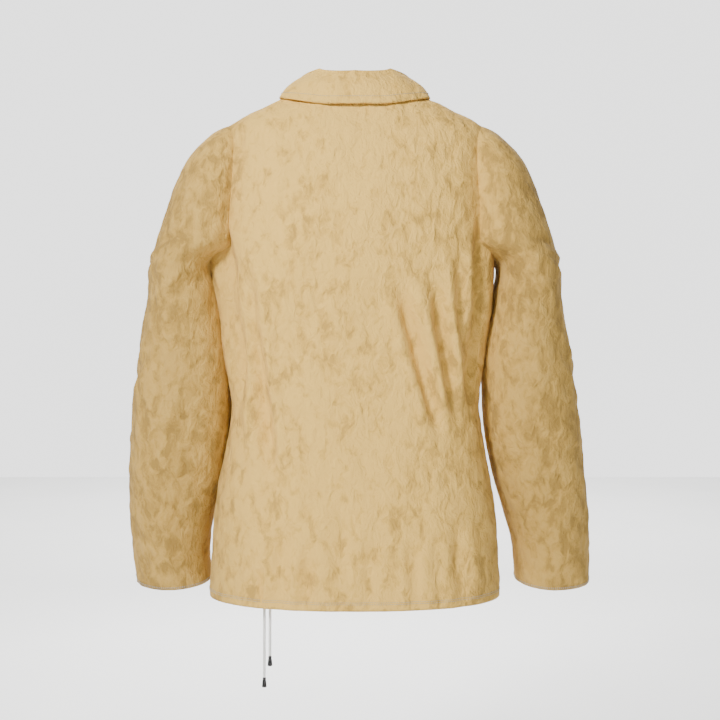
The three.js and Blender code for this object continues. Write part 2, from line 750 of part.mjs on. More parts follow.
// The held cord runs in the channel from a swing line round to its eyelet.
function heldCord(fromDegrees, toX, steps) {
  const angles = range(degrees(fromDegrees), hemAngle(toX), steps);
  return cordAlong(angles.map((angle) => below(bodySurface, angle, cordDrop, cordDepth)), steps);
}
add('hem_cord_left', heldCord(heldCordEnd, cordEndLong.x, 18), braid());
add('hem_cord_right', heldCord(-heldCordEnd, cordEndShort.x, 36), braid());

const eyeletShape = [
  [eyeletBore, channelWallDepth - 0.2], [eyeletBore + 0.5, channelWallDepth - 0.2],
  [eyeletBore + 0.5, channelWallDepth + facingCloth + 0.9],
  [eyeletRadius, channelWallDepth + facingCloth + 0.9],
  [eyeletRadius, channelWallDepth + facingCloth + 1.7],
  [eyeletBore, channelWallDepth + facingCloth + 1.7],
  [eyeletBore, channelWallDepth - 0.2],
];

const bellShape = [
  [0, -bellLength], [bellRadius, -bellLength], [0.84 * bellRadius, -0.7 * bellLength],
  [0.8 * bellRadius, -0.22 * bellLength], [0.62 * bellRadius, 0], [0, 0],
];

// The free cord comes out of its eyelet, turns down and hangs to its bell.
function hangingCord(end, name, steps) {
  const angle = hemAngle(end.x);
  const out = (depth, lower) => {
    const point = below(bodySurface, angle, cordDrop, depth);
    point.z -= lower;
    return point;
  };
  const hanging = out(19, 14);
  const foot = new THREE.Vector3(hanging.x, hanging.y, -end.drop);
  const points = [
    out(cordDepth + cordRadius + 0.5, 0), out(12, 0), out(15.5, 2), out(18, 6.5), hanging,
    hanging.clone().lerp(foot, 0.5), foot,
  ];
  placeOnBody(add(`eyelet_${name}`, lathe(eyeletShape), gunmetal()), angle, cordDrop);
  add(`cord_end_${name}`, cordAlong(points, steps), braid());
  const bell = add(`cord_bell_${name}`, lathe(bellShape).rotateX(Math.PI / 2), gunmetal());
  bell.position.set(foot.x, foot.y, foot.z - 0.3);
}
hangingCord(cordEndLong, 'long', 14);
hangingCord(cordEndShort, 'short', 11);

export default jacket;
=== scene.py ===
"""A tan suede-look jacket with a snap front, set-in sleeves and a drawcord in its hem.

Lengths in the shape functions are millimetres, like a pattern maker's, and become metres
when a mesh is made. A drop is a distance down from the neck point. Angles go round the
body from the middle of the back, over the wearer's left (+X), to the front (-Y).
"""
import math

import bmesh
import bpy
import numpy as np
from mathutils import Matrix, Vector


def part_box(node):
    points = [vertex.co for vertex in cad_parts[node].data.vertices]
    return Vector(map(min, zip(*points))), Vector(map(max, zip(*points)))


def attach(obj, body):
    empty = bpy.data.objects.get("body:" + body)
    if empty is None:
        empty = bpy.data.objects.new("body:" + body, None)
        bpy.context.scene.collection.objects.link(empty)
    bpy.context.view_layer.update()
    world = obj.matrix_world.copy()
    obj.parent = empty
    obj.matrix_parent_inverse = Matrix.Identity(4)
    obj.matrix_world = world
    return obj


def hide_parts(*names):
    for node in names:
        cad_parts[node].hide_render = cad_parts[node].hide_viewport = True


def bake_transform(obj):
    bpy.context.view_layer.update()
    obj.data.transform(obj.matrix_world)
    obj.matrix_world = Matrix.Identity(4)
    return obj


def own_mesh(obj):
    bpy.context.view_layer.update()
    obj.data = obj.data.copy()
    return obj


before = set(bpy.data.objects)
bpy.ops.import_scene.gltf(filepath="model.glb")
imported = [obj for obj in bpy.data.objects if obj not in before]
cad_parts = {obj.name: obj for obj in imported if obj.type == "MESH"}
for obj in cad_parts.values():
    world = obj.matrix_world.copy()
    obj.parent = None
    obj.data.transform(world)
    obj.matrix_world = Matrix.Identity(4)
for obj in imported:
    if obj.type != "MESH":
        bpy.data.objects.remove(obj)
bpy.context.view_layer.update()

MM = 0.001
FINE = 1.0


# ---------------------------------------------------------------- small helpers
def colour(text):
    """An sRGB hex colour as linear RGBA."""
    parts = [int(text[i:i + 2], 16) / 255 for i in (1, 3, 5)]
    linear = [c / 12.92 if c <= 0.04045 else ((c + 0.055) / 1.055) ** 2.4 for c in parts]
    return (*linear, 1.0)


def smooth(value, low, high):
    t = np.clip((value - low) / (high - low), 0, 1)
    return t * t * (3 - 2 * t)


def lerp(a, b, t):
    return a + (b - a) * t


# ---------------------------------------------------------------- camera and stage
EYE = Vector((-0.007, 1.50, -0.371))
FLOOR_Z = -1.30


def make_camera():
    data = bpy.data.cameras.new("camera")
    data.sensor_width = 36
    data.lens = 18 / (360 * 1.4 * MM / EYE.y)
    camera = bpy.data.objects.new("camera", data)
    camera.location = EYE
    camera.rotation_euler = (math.radians(90), 0, math.radians(180))
    bpy.context.scene.collection.objects.link(camera)
    bpy.context.scene.camera = camera


def area_light(name, place, aim, size, watts):
    data = bpy.data.lights.new(name, "AREA")
    data.shape = "DISK"
    data.size = size
    data.energy = watts
    lamp = bpy.data.objects.new(name, data)
    lamp.location = place
    lamp.rotation_euler = (Vector(aim) - Vector(place)).to_track_quat("-Z", "Y").to_euler()
    bpy.context.scene.collection.objects.link(lamp)


make_camera()


# ---------------------------------------------------------------- materials
def node(tree, kind, inputs=None, **settings):
    """Adds a node with its settings, input values and links from other nodes' sockets."""
    made = tree.nodes.new(kind)
    for key, value in settings.items():
        setattr(made, key, value)
    for key, value in (inputs or {}).items():
        if isinstance(value, bpy.types.NodeSocket):
            tree.links.new(value, made.inputs[key])
        else:
            made.inputs[key].default_value = value
    return made


def new_material(name):
    material = bpy.data.materials.new(name)
    material.use_nodes = True
    tree = material.node_tree
    tree.nodes.clear()
    output = tree.nodes.new("ShaderNodeOutputMaterial")
    return material, tree, output


def ramp(tree, factor, stops):
    made = node(tree, "ShaderNodeValToRGB", {"Fac": factor})
    elements = made.color_ramp.elements
    while len(elements) < len(stops):
        elements.new(0.5)
    for element, (position, value) in zip(elements, stops):
        element.position = position
        element.color = colour(value) if isinstance(value, str) else (value, value, value, 1)
    return made.outputs["Color"]


def suede_cloth(name, light, middle, dark):
    """Brushed suede-look cloth, crushed in washing: a soft matt nap, plain where the cloth
    lies smooth and broken by small darker marks, 7 to 20 mm long and mostly upright, where
    the nap lies the other way. The marks gather in drifts about 90 mm across. Further out in x,
    towards the sides and on the sleeves, the marks are closer and the colour darker: painted shade."""
    material, tree, output = new_material(name)
    place = node(tree, "ShaderNodeTexCoord").outputs["Object"]
    tall = node(tree, "ShaderNodeMapping", {"Vector": place, "Scale": (1, 1, 0.62)}).outputs[0]
    warp = node(tree, "ShaderNodeTexNoise", {"Vector": tall, "Scale": 55, "Detail": 3}).outputs["Color"]
    pushed = node(tree, "ShaderNodeVectorMath", {0: warp, 1: (0.022, 0.022, 0.022), 2: tall},
                  operation="MULTIPLY_ADD").outputs[0]
    marks = node(tree, "ShaderNodeTexNoise", {"Vector": pushed, "Scale": 70, "Detail": 4,
                                              "Roughness": 0.6}).outputs["Fac"]
    drift = node(tree, "ShaderNodeTexNoise", {"Vector": tall, "Scale": 11, "Detail": 2}).outputs["Fac"]
    parts = node(tree, "ShaderNodeSeparateXYZ", {"Vector": place})
    sideways = node(tree, "ShaderNodeMath", {0: parts.outputs["X"]}, operation="ABSOLUTE").outputs[0]
    # Painted shade: the marks shift lighter in the middle and darker towards the sides, by |x|.
    painted_side_shade = node(tree, "ShaderNodeMapRange", {"Value": sideways, "From Min": 0.03, "From Max": 0.26,
                                                "To Min": -0.05, "To Max": 0.05},
                   interpolation_type="SMOOTHSTEP").outputs[0]
    lean = node(tree, "ShaderNodeMath", {0: drift, 1: -0.34, 2: 0.165}, operation="MULTIPLY_ADD").outputs[0]
    local = node(tree, "ShaderNodeMath", {0: marks, 1: lean}, operation="ADD").outputs[0]
    local = node(tree, "ShaderNodeMath", {0: local, 1: painted_side_shade}, operation="SUBTRACT").outputs[0]
    shade = ramp(tree, local, [(0.34, dark), (0.46, middle), (0.55, light)])
    # Painted shade: the colour is multiplied by a grey towards the sides and over the sleeves.
    painted_side_shade_mix = node(tree, "ShaderNodeMapRange", {"Value": sideways, "From Min": 0.11, "From Max": 0.24,
                                             "To Min": 0.0, "To Max": 1.0},
                interpolation_type="SMOOTHSTEP").outputs[0]
    shade = node(tree, "ShaderNodeMix", {0: painted_side_shade_mix, 6: shade, 7: colour("#d6d6dc")},
                 data_type="RGBA", blend_type="MULTIPLY").outputs[2]
    nap = node(tree, "ShaderNodeTexNoise", {"Vector": place, "Scale": 900, "Detail": 2})
    crushed = node(tree, "ShaderNodeTexNoise", {"Vector": pushed, "Scale": 96, "Detail": 4,
                                                "Roughness": 0.55}).outputs["Fac"]
    relief = node(tree, "ShaderNodeMath", {0: local, 1: crushed}, operation="ADD").outputs[0]
    rough = node(tree, "ShaderNodeBump", {"Height": relief, "Strength": 1.0, "Distance": 0.004})
    fuzz = node(tree, "ShaderNodeBump", {"Height": nap.outputs["Fac"], "Strength": 0.25,
                                         "Distance": 0.0004, "Normal": rough.outputs[0]})
    surface = node(tree, "ShaderNodeBsdfPrincipled", {
        "Base Color": shade, "Roughness": 0.95, "Sheen Weight": 0.04, "Sheen Roughness": 0.5,
        "Specular IOR Level": 0.12, "Normal": fuzz.outputs[0]})
    tree.links.new(surface.outputs[0], output.inputs[0])
    return material


def satin_lining(name):
    """Woven polyester satin: smoother and a little darker than the cloth, with a soft gloss
    along its threads and a faint fine twill."""
    material, tree, output = new_material(name)
    place = node(tree, "ShaderNodeTexCoord").outputs["Object"]
    threads = node(tree, "ShaderNodeTexWave", {"Vector": place, "Scale": 260, "Distortion": 0.6},
                   bands_direction="DIAGONAL")
    cloud = node(tree, "ShaderNodeTexNoise", {"Vector": place, "Scale": 9, "Detail": 4})
    shade = ramp(tree, cloud.outputs["Fac"], [(0.3, "#a48d69"), (0.7, "#b9a37e")])
    bump = node(tree, "ShaderNodeBump", {"Height": threads.outputs["Fac"], "Strength": 0.15,
                                         "Distance": 0.0002})
    surface = node(tree, "ShaderNodeBsdfPrincipled", {
        "Base Color": shade, "Roughness": 0.42, "Sheen Weight": 0.2, "Normal": bump.outputs[0]})
    tree.links.new(surface.outputs[0], output.inputs[0])
    return material


def gunmetal(name):
    """Zinc alloy under a dark gunmetal plating: a nearly black metal, satin smooth, with
    small scratches and paler edges of wear."""
    material, tree, output = new_material(name)
    place = node(tree, "ShaderNodeTexCoord").outputs["Object"]
    wear = node(tree, "ShaderNodeTexNoise", {"Vector": place, "Scale": 420, "Detail": 4})
    shade = ramp(tree, wear.outputs["Fac"], [(0.35, "#3a393a"), (0.7, "#5c5a59")])
    gloss = ramp(tree, wear.outputs["Fac"], [(0.3, 0.22), (0.75, 0.42)])
    surface = node(tree, "ShaderNodeBsdfPrincipled", {
        "Base Color": shade, "Metallic": 1.0, "Roughness": gloss})
    tree.links.new(surface.outputs[0], output.inputs[0])
    return material


def white_braid(name):
    """Round braided polyester cord: white, matt, its strands crossing about every 2 mm.
    The pattern reads the cord's own UV map, along it in U and round it in V."""
    material, tree, output = new_material(name)
    uv = node(tree, "ShaderNodeUVMap").outputs[0]
    strands = []
    for turn in (-1, 1):
        turned = node(tree, "ShaderNodeMapping", {"Vector": uv, "Rotation": (0, 0, turn * 0.75)})
        strands.append(node(tree, "ShaderNodeTexWave", {"Vector": turned.outputs[0], "Scale": 1.3},
                            bands_direction="X").outputs["Fac"])
    both = node(tree, "ShaderNodeMath", {0: strands[0], 1: strands[1]}, operation="MAXIMUM")
    shade = ramp(tree, both.outputs[0], [(0.2, "#cfcdc6"), (0.8, "#f7f6f2")])
    bump = node(tree, "ShaderNodeBump", {"Height": both.outputs[0], "Strength": 0.8,
                                         "Distance": 0.0005})
    surface = node(tree, "ShaderNodeBsdfPrincipled", {
        "Base Color": shade, "Roughness": 0.85, "Normal": bump.outputs[0]})
    tree.links.new(surface.outputs[0], output.inputs[0])
    return material


def woven(name, light, dark, threads_per_metre):
    """Plain woven tape or cotton: a fine grid of threads, drawn a little coarser than real
    so that it shows."""
    material, tree, output = new_material(name)
    place = node(tree, "ShaderNodeTexCoord").outputs["Object"]
    threads = [node(tree, "ShaderNodeTexWave", {"Vector": place, "Scale": threads_per_metre / 20},
                    bands_direction=way).outputs["Fac"] for way in ("X", "Z")]
    grid = node(tree, "ShaderNodeMath", {0: threads[0], 1: threads[1]}, operation="MULTIPLY")
    shade = ramp(tree, grid.outputs[0], [(0.1, dark), (0.6, light)])
    bump = node(tree, "ShaderNodeBump", {"Height": grid.outputs[0], "Strength": 0.4,
                                         "Distance": 0.0003})
    surface = node(tree, "ShaderNodeBsdfPrincipled", {
        "Base Color": shade, "Roughness": 0.8, "Normal": bump.outputs[0]})
    tree.links.new(surface.outputs[0], output.inputs[0])
    return material


def plain_thread(name):
    """Grey core-spun polyester thread: matt, with a faint variation along each stitch."""
    material, tree, output = new_material(name)
    place = node(tree, "ShaderNodeTexCoord").outputs["Object"]
    fibre = node(tree, "ShaderNodeTexNoise", {"Vector": place, "Scale": 1500, "Detail": 2})
    shade = ramp(tree, fibre.outputs["Fac"], [(0.3, "#8d8a80"), (0.7, "#b4b0a4")])
    surface = node(tree, "ShaderNodeBsdfPrincipled", {"Base Color": shade, "Roughness": 0.75})
    tree.links.new(surface.outputs[0], output.inputs[0])
    return material


SUEDE = suede_cloth("suede_cloth", "#d9b05a", "#cfa651", "#b28e45")
SATIN = satin_lining("satin_lining")
METAL = gunmetal("gunmetal")
BRAID = white_braid("white_braid")
TAPE = woven("woven_tape", "#d0bc97", "#a8946e", 1600)
COTTON = woven("pocket_cotton", "#cbb78f", "#a89468", 1400)
LABEL = woven("label_satin", "#ebe2cf", "#d2c6ab", 2400)
THREAD = plain_thread("grey_thread")


# ---------------------------------------------------------------- the jacket's surfaces
SHOULDER, ARMHOLE, WAIST, HEM = 57.0, 235.0, 427.0, 695.0
SQUARENESS = 2.3
NECK_WIDE, NECK_DEEP, NECK_FORWARD = 82.0, 80.0, 18.0
CLOTH = 1.6
OVERLAP, UNDERLAP = 15.0, 6.6
SIDE = 90.0


class Profile:
    """Smooth values between rings: the same cubic as the CAD source uses."""

    def __init__(self, rings):
        table = np.array(rings, dtype=float)
        self.t = table[:, 0]
        self.v = table[:, 1:]

    def __call__(self, t):
        t = np.clip(np.asarray(t, dtype=float), self.t[0], self.t[-1])
        n = len(self.t)
        i1 = np.clip(np.searchsorted(self.t, t, side="right"), 1, n - 1)
        i0 = i1 - 1
        t0, t1 = self.t[i0], self.t[i1]
        before = np.where(i0 > 0, i0 - 1, i1)
        after = np.where(i1 < n - 1, i1 + 1, i0)
        span = t1 - t0
        p = (t - t0) / span
        w_p = 0.5 * span / np.where(i0 > 0, t0 - self.t[before], span)
        w_n = 0.5 * span / np.where(i1 < n - 1, self.t[after] - t1, span)
        s_p = -w_p * p**3 + 2 * w_p * p**2 - w_p * p
        s_0 = (1 + w_p) * p**3 + (-1.5 - 2 * w_p) * p**2 + (-0.5 + w_p) * p + 1
        s_1 = (-1 - w_n) * p**3 + (1.5 + w_n) * p**2 + 0.5 * p
        s_n = w_n * p**3 - w_n * p**2
        weights = (s_p, s_0, s_1, s_n)
        picks = (before, i0, i1, after)
        return sum(w[..., None] * self.v[k] for w, k in zip(weights, picks))


def shoulder_ring(drop, wide, front, back):
    return [drop * SHOULDER, lerp(80, 192, wide), lerp(62, 140, front), lerp(55, 109, back)]


BODY = Profile([
    [0, 80, 62, 55],
    shoulder_ring(0.35, 0.40, 0.15, 0.28),
    shoulder_ring(0.70, 0.76, 0.28, 0.46),
    shoulder_ring(1.00, 0.97, 0.41, 0.60),
    shoulder_ring(1.50, 1.00, 0.56, 0.77),
    [0.6 * ARMHOLE, 193, lerp(62, 140, 0.80), lerp(55, 109, 0.94)],
    [ARMHOLE, 193, 140, 109],
    [WAIST, 172, 124, 101],
    [lerp(WAIST, HEM, 0.57), lerp(172, 201, 0.78), lerp(124, 138, 0.5), lerp(101, 122, 0.57)],
    [HEM, 201, 138, 122],
])


def body(around, drop):
    """Points of the body's outer face. Around is in radians, 0 at the middle of the back."""
    around, drop = np.broadcast_arrays(np.asarray(around, float), np.asarray(drop, float))
    half, front, back = np.moveaxis(BODY(drop), -1, 0)
    s, c = np.sin(around), np.cos(around)
    power = 2 / SQUARENESS
    x = half * np.sign(s) * np.abs(s) ** power
    y = np.where(c > 0, back, front) * np.sign(c) * np.abs(c) ** power
    return np.stack([x, y, -drop], axis=-1)


def underlap(around, drop):
    """The right front, which sinks under the left one towards the middle."""
    point = body(around, drop)
    point[..., 1] += UNDERLAP * (1 - smooth(-point[..., 0], OVERLAP + 8, OVERLAP + 45))
    return point


CUFF_SWING = {"left": -11.0, "right": 11.0}
UPPER_W, ELBOW_W, CUFF_W = 83.0, 130.0, 108.0
UPPER_D, ELBOW_D, CUFF_D = 164.0, 136.0, 98.0
SLEEVE_DROP, CUFF_FORWARD, CUFF_TILT = 683.0, 45.0, 0.2
HEAD_RINGS = [
    (0.185, 0.50, -0.290, 0.20), (0.205, 0.57, -0.155, 0.36), (0.243, 0.63, 0.060, 0.55),
    (0.315, 0.65, 0.290, 0.71), (0.387, 0.65, 0.470, 0.80), (0.460, 0.63, 0.590, 0.87),
    (0.604, 0.58, 0.760, 0.94), (0.817, 0.51, 0.955, 1.00), (0.915, 0.43, 1.030, 1.01),
]
ARM_RINGS = [
    (0.01, 5, 86, UPPER_D, 0),
    (0.12, 5, lerp(UPPER_W, ELBOW_W, 0.30), lerp(UPPER_D, ELBOW_D, 0.40), 0.03),
    (0.27, 5.5, lerp(UPPER_W, ELBOW_W, 0.73), lerp(UPPER_D, ELBOW_D, 0.80), 0.08),
    (0.42, 9, ELBOW_W, ELBOW_D, 0.20),
    (0.57, 7, ELBOW_W + 3, ELBOW_D - 4, 0.42),
    (0.72, 8, lerp(CUFF_W, ELBOW_W, 0.78), lerp(CUFF_D, ELBOW_D, 0.66), 0.66),
    (0.88, 17, CUFF_W + 2, CUFF_D + 10, 0.86),
    (1.00, 17, CUFF_W, CUFF_D, 1),
]
CUFF_RING = len(HEAD_RINGS) + len(ARM_RINGS) - 1


def sleeve_profile(side):
    rows = []
    for share, inset, outset, depth in HEAD_RINGS:
        inner, outer = 192 - inset * UPPER_W, 192 + outset * UPPER_W
        rows.append([share * ARMHOLE, (inner + outer) / 2, (outer - inner) / 2,
                     depth * UPPER_D / 2, 0, 0])
    for share, gap, width, depth, forward in ARM_RINGS:
        drop = lerp(ARMHOLE, SLEEVE_DROP, share)
        swing = CUFF_SWING[side] * max(0, (share - 0.42) / 0.58) ** 1.3
        inner = float(BODY(min(drop, HEM))[0]) + gap + swing
        rows.append([drop, inner + width / 2, width / 2, depth / 2, CUFF_FORWARD * forward,
                     CUFF_TILT * forward**2])
    return Profile([[i, *row] for i, row in enumerate(rows)])


SLEEVES = {side: sleeve_profile(side) for side in ("left", "right")}


def sleeve(side):
    toward = 1 if side == "left" else -1

    def surface(around, along):
        around, along = np.broadcast_arrays(np.asarray(around, float), np.asarray(along, float))
        drop, middle, wide, deep, forward, tilt = np.moveaxis(SLEEVES[side](along), -1, 0)
        y = deep * np.cos(around)
        return np.stack([toward * middle + wide * np.sin(around), y - forward, -drop - tilt * y],
                        axis=-1)

    return surface


def neck_ring(angle, inset):
    return np.stack([(NECK_WIDE - inset) * np.sin(angle),
                     (NECK_DEEP - inset) * np.cos(angle) - NECK_FORWARD], axis=-1)


def body_reach(point_x, point_y, drop):
    """How far out a point of the plan is at a drop: 1 is on the body's face."""
    half, front, back = np.moveaxis(BODY(drop), -1, 0)
    deep = np.where(point_y > 0, back, front)
    return np.abs(point_x / half) ** SQUARENESS + np.abs(point_y / deep) ** SQUARENESS


def body_drop(x, y):
    """The drop at which the sloping shoulders pass through a point of the plan."""
    low = np.full(np.shape(x), ARMHOLE)
    high = np.zeros(np.shape(x))
    for _ in range(30):
        middle = (low + high) / 2
        beyond = body_reach(x, y, middle) > 1
        high = np.where(beyond, middle, high)
        low = np.where(beyond, low, middle)
    return (low + high) / 2


COLLAR_END = math.radians(174)
STAND_HEIGHT = 25.0


def neck_drop(angle):
    edge = neck_ring(angle, 0)
    return body_drop(edge[..., 0], edge[..., 1])


def fold_point(angle):
    sideways = np.abs(np.sin(angle))
    wide = NECK_WIDE - 2.6 - 6 * sideways
    deep = NECK_DEEP - 2.6 - 6 * sideways
    rise = STAND_HEIGHT - 6 * sideways + 2 * np.maximum(0, -np.cos(angle))
    return np.stack([wide * np.sin(angle), deep * np.cos(angle) - NECK_FORWARD,
                     rise - neck_drop(angle)], axis=-1)


def stand(angle, down):
    """The collar's stand: down is 0 at the fold and 1 at its foot in the neck seam."""
    angle, down = np.broadcast_arrays(np.asarray(angle, float), np.asarray(down, float))
    foot = neck_ring(angle, 0.6)
    bottom = np.stack([foot[..., 0], foot[..., 1], -neck_drop(angle) - 4], axis=-1)
    return lerp(fold_point(angle), bottom, down[..., None])


def leaf_edge(angle):
    turn = np.abs(angle)
    half = math.pi / 2
    side = lerp(32, 10, smooth(turn, 0.35, half))
    point = lerp(10, 112, np.clip((turn - half) / (COLLAR_END - half), 0, 1) ** 1.25)
    drop = np.where(turn < half, side, point)
    heading = np.sign(angle) * (turn - 0.5 * smooth(turn, 0.8 * math.pi, COLLAR_END))
    x, y = np.sin(heading), np.cos(heading)
    reach = body_reach(x, y, drop) ** (-1 / SQUARENESS) + 3.5
    return np.stack([x * reach, y * reach, -drop], axis=-1)


def leaf(angle, out):
    """The collar's leaf: out is 0 at the fold and 1 at its outer edge."""
    angle, out = np.broadcast_arrays(np.asarray(angle, float), np.asarray(out, float))
    heading = np.stack([np.sin(angle), np.cos(angle), np.zeros_like(angle)], axis=-1)
    fold = fold_point(angle) + heading * 2.8 + np.array([0, 0, 2.0])
    point = lerp(fold, leaf_edge(angle), out[..., None])
    crown = (np.sin(math.pi * np.minimum(1, out)) * 4)[..., None]
    return point + heading * crown + np.array([0, 0, 1.0]) * crown * 0.5


def normals(surface, u, v):
    """Outward unit normals of a surface whose u runs round and whose v runs down or out."""
    step = 1e-3
    along_u = surface(u + step, v) - surface(u - step, v)
    along_v = surface(u, v + step) - surface(u, v - step)
    cross = np.cross(along_u, along_v)
    length = np.linalg.norm(cross, axis=-1, keepdims=True)
    return cross / np.maximum(length, 1e-12)


# ---------------------------------------------------------------- folds in the cloth
FOLD = 3.2


def valley(point, start, end, width, depth):
    """A soft crease seen from behind, from one (x, z) to another, in millimetres: a hollow
    with a low ridge on its outboard side, fading out at both ends."""
    a, b = np.array(start, float), np.array(end, float)
    along = (b - a) / np.linalg.norm(b - a)
    rel = point[..., [0, 2]] - a
    t = rel @ along / np.linalg.norm(b - a)
    across = rel[..., 0] * along[1] - rel[..., 1] * along[0]
    fade = smooth(t, -0.15, 0.25) * (1 - smooth(t, 0.75, 1.15))
    hollow = -np.exp(-(across / width) ** 2)
    ridge = 0.6 * np.exp(-((np.abs(across) - 1.9 * width) / width) ** 2)
    return FOLD * depth * fade * (hollow + ridge)


def ripple(point, size, seed):
    """Smooth irregular waves of about a given size, from -1 to 1."""
    rng = np.random.default_rng(seed)
    total = np.zeros(point.shape[:-1])
    for _ in range(7):
        way = rng.normal(size=3)
        way /= np.linalg.norm(way)
        phase = rng.uniform(0, 2 * math.pi)
        bend = rng.normal(size=3) / (size * 2.3)
        total += np.sin(2 * math.pi / size * (point @ way) + phase
                        + 1.3 * np.sin(2 * math.pi * (point @ bend) + 2 * phase))
    return total / 7


BACK_FOLDS = [
    ((-59, -275), (-112, -462), 9, 3.2), ((-105, -275), (-132, -450), 8, 2.8),
    ((-140, -240), (-150, -420), 8, 2.4), ((150, -225), (111, -515), 10, 3.4),
    ((166, -205), (150, -420), 9, 4.5), ((178, -190), (170, -330), 8, 3.5),
    ((-168, -200), (-158, -400), 8, 3.4), ((121, -640), (122, -694), 3, 1.2),
    ((60, -610), (64, -694), 9, 1.1), ((-20, -600), (-16, -694), 11, 1.0),
    ((-75, -610), (-80, -694), 9, 1.2), ((-135, -590), (-144, -694), 9, 1.5),
    ((20, -560), (10, -694), 12, 0.9), ((92, -590), (100, -694), 10, 1.2),
]
FRONT_FOLDS = [
    ((70, -200), (110, -430), 9, 2.6), ((-70, -200), (-108, -440), 9, 2.6),
    ((120, -210), (140, -400), 8, 2.6), ((-120, -210), (-138, -400), 8, 2.6),
    ((45, -560), (52, -694), 9, 1.2), ((-52, -560), (-60, -694), 9, 1.2),
]
SLEEVE_FOLDS = [
    # start and end as (degrees round, share of the way down), width and depth in millimetres
    ((20, 0.30), (75, 0.40), 7, 2.6), ((-30, 0.42), (60, 0.50), 7, 3.0),
    ((10, 0.53), (100, 0.58), 6, 2.6), ((-60, 0.58), (30, 0.64), 7, 2.8),
    ((30, 0.68), (95, 0.74), 6, 2.2), ((-20, 0.78), (60, 0.83), 7, 2.2),
    ((120, 0.38), (200, 0.46), 7, 2.6), ((150, 0.55), (230, 0.62), 7, 2.6),
    ((140, 0.72), (215, 0.78), 7, 2.2), ((-50, 0.25), (20, 0.33), 7, 2.4),
]


def body_folds(point):
    back = point[..., 1] > 0
    lift = np.zeros(point.shape[:-1])
    for start, end, width, depth in BACK_FOLDS:
        lift += np.where(back, valley(point, start, end, width, depth), 0)
    for start, end, width, depth in FRONT_FOLDS:
        lift += np.where(back, 0, valley(point, start, end, width, depth))
    fade = 1 - smooth(-point[..., 2], 660, 694) * 0.5
    edge = smooth(np.abs(point[..., 1]), 2, 14)
    placket = smooth(np.abs(point[..., 0]), 20, 52)
    edge = np.where(back, edge, edge * lerp(0.1, 1, placket))
    waves = 2.6 * ripple(point * [1, 1, 0.45], 62, 5) + 1.3 * ripple(point * [1, 1, 0.6], 27, 6)
    return (lift + waves * fade) * lerp(0.35, 1, edge)


def crush(point, amount):
    """The fine crush that washing leaves all over the cloth."""
    fine = ripple(point * [1, 1, 0.7], 15, 11) + 0.8 * ripple(point * [1, 1, 0.8], 9.5, 12)
    return amount * fine


# ---------------------------------------------------------------- making cloth
def steps(low, high, spacing):
    return np.linspace(low, high, max(2, int(math.ceil(abs(high - low) / spacing)) + 1))


def grid_mesh(name, points, wrap=False, drop_face=None, flip=False):
    """A mesh from a grid of points in millimetres. drop_face marks the quads left out."""
    rows, columns = points.shape[:2]
    index = np.arange(rows * columns).reshape(rows, columns)
    if wrap:
        index = np.concatenate([index, index[:, :1]], axis=1)
    corners = [index[:-1, :-1], index[:-1, 1:], index[1:, 1:], index[1:, :-1]]
    quads = np.stack(corners, axis=-1)
    if drop_face is not None:
        quads = quads[~drop_face]
    quads = quads.reshape(-1, 4)
    if flip:
        quads = quads[:, ::-1]
    used = np.unique(quads)
    renumber = np.full(rows * columns, -1)
    renumber[used] = np.arange(len(used))
    mesh = bpy.data.meshes.new(name)
    mesh.from_pydata((points.reshape(-1, 3)[used] * MM).tolist(), [], renumber[quads].tolist())
    mesh.validate()
    return mesh


def thicken(name, mesh, thickness, material):
    """Gives a mesh that faces outward its thickness, inward from that face."""
    carrier = bpy.data.objects.new(name + "_carrier", mesh)
    bpy.context.scene.collection.objects.link(carrier)
    solid = carrier.modifiers.new("thickness", "SOLIDIFY")
    solid.thickness = thickness * MM
    solid.offset = -1
    solid.use_even_offset = False
    solid.use_rim = True
    graph = bpy.context.evaluated_depsgraph_get()
    final = bpy.data.meshes.new_from_object(carrier.evaluated_get(graph))
    bpy.data.objects.remove(carrier)
    return finished(name, final, material)


def finished(name, mesh, material):
    mesh.name = name
    mesh.materials.clear()
    mesh.materials.append(material)
    mesh.shade_smooth()
    thing = bpy.data.objects.new(name, mesh)
    bpy.context.scene.collection.objects.link(thing)
    return thing


def sealed(name, layer, wrap, drop_face, flip, thickness, material):
    piece = thicken(name, grid_mesh(name, layer, wrap, drop_face, flip), thickness, material)
    return piece


def quads_where(flags, wrap=False):
    """True for each quad of a grid whose four corners are all flagged."""
    if wrap:
        flags = np.concatenate([flags, flags[:, :1]], axis=1)
    return flags[:-1, :-1] & flags[1:, :-1] & flags[1:, 1:] & flags[:-1, 1:]


def inside_body(point, margin):
    """Flags points that are inside the body's face by more than a margin."""
    drop = -point[..., 2]
    half, front, back = np.moveaxis(BODY(drop), -1, 0)
    deep = np.where(point[..., 1] > 0, back, front)
    reach = (np.abs(point[..., 0] / (half - margin)) ** SQUARENESS
             + np.abs(point[..., 1] / (deep - margin)) ** SQUARENESS)
    return (reach < 1) & (drop > 0) & (drop < HEM)


def inside_sleeve(point, side, margin):
    """Flags points inside a sleeve's head by more than a margin."""
    toward = 1 if side == "left" else -1
    profile = SLEEVES[side]
    drops = profile(np.arange(0, CUFF_RING + 0.01, 0.05))
    drop = -point[..., 2]
    along = np.interp(drop, drops[:, 0], np.arange(0, CUFF_RING + 0.01, 0.05))
    _, middle, wide, deep, forward, _ = np.moveaxis(profile(along), -1, 0)
    x = (point[..., 0] * toward - middle) / (wide - margin)
    y = (point[..., 1] + forward) / (deep - margin)
    return (x**2 + y**2 < 1) & (drop > drops[0, 0] + margin) & (drop < drops[-1, 0])


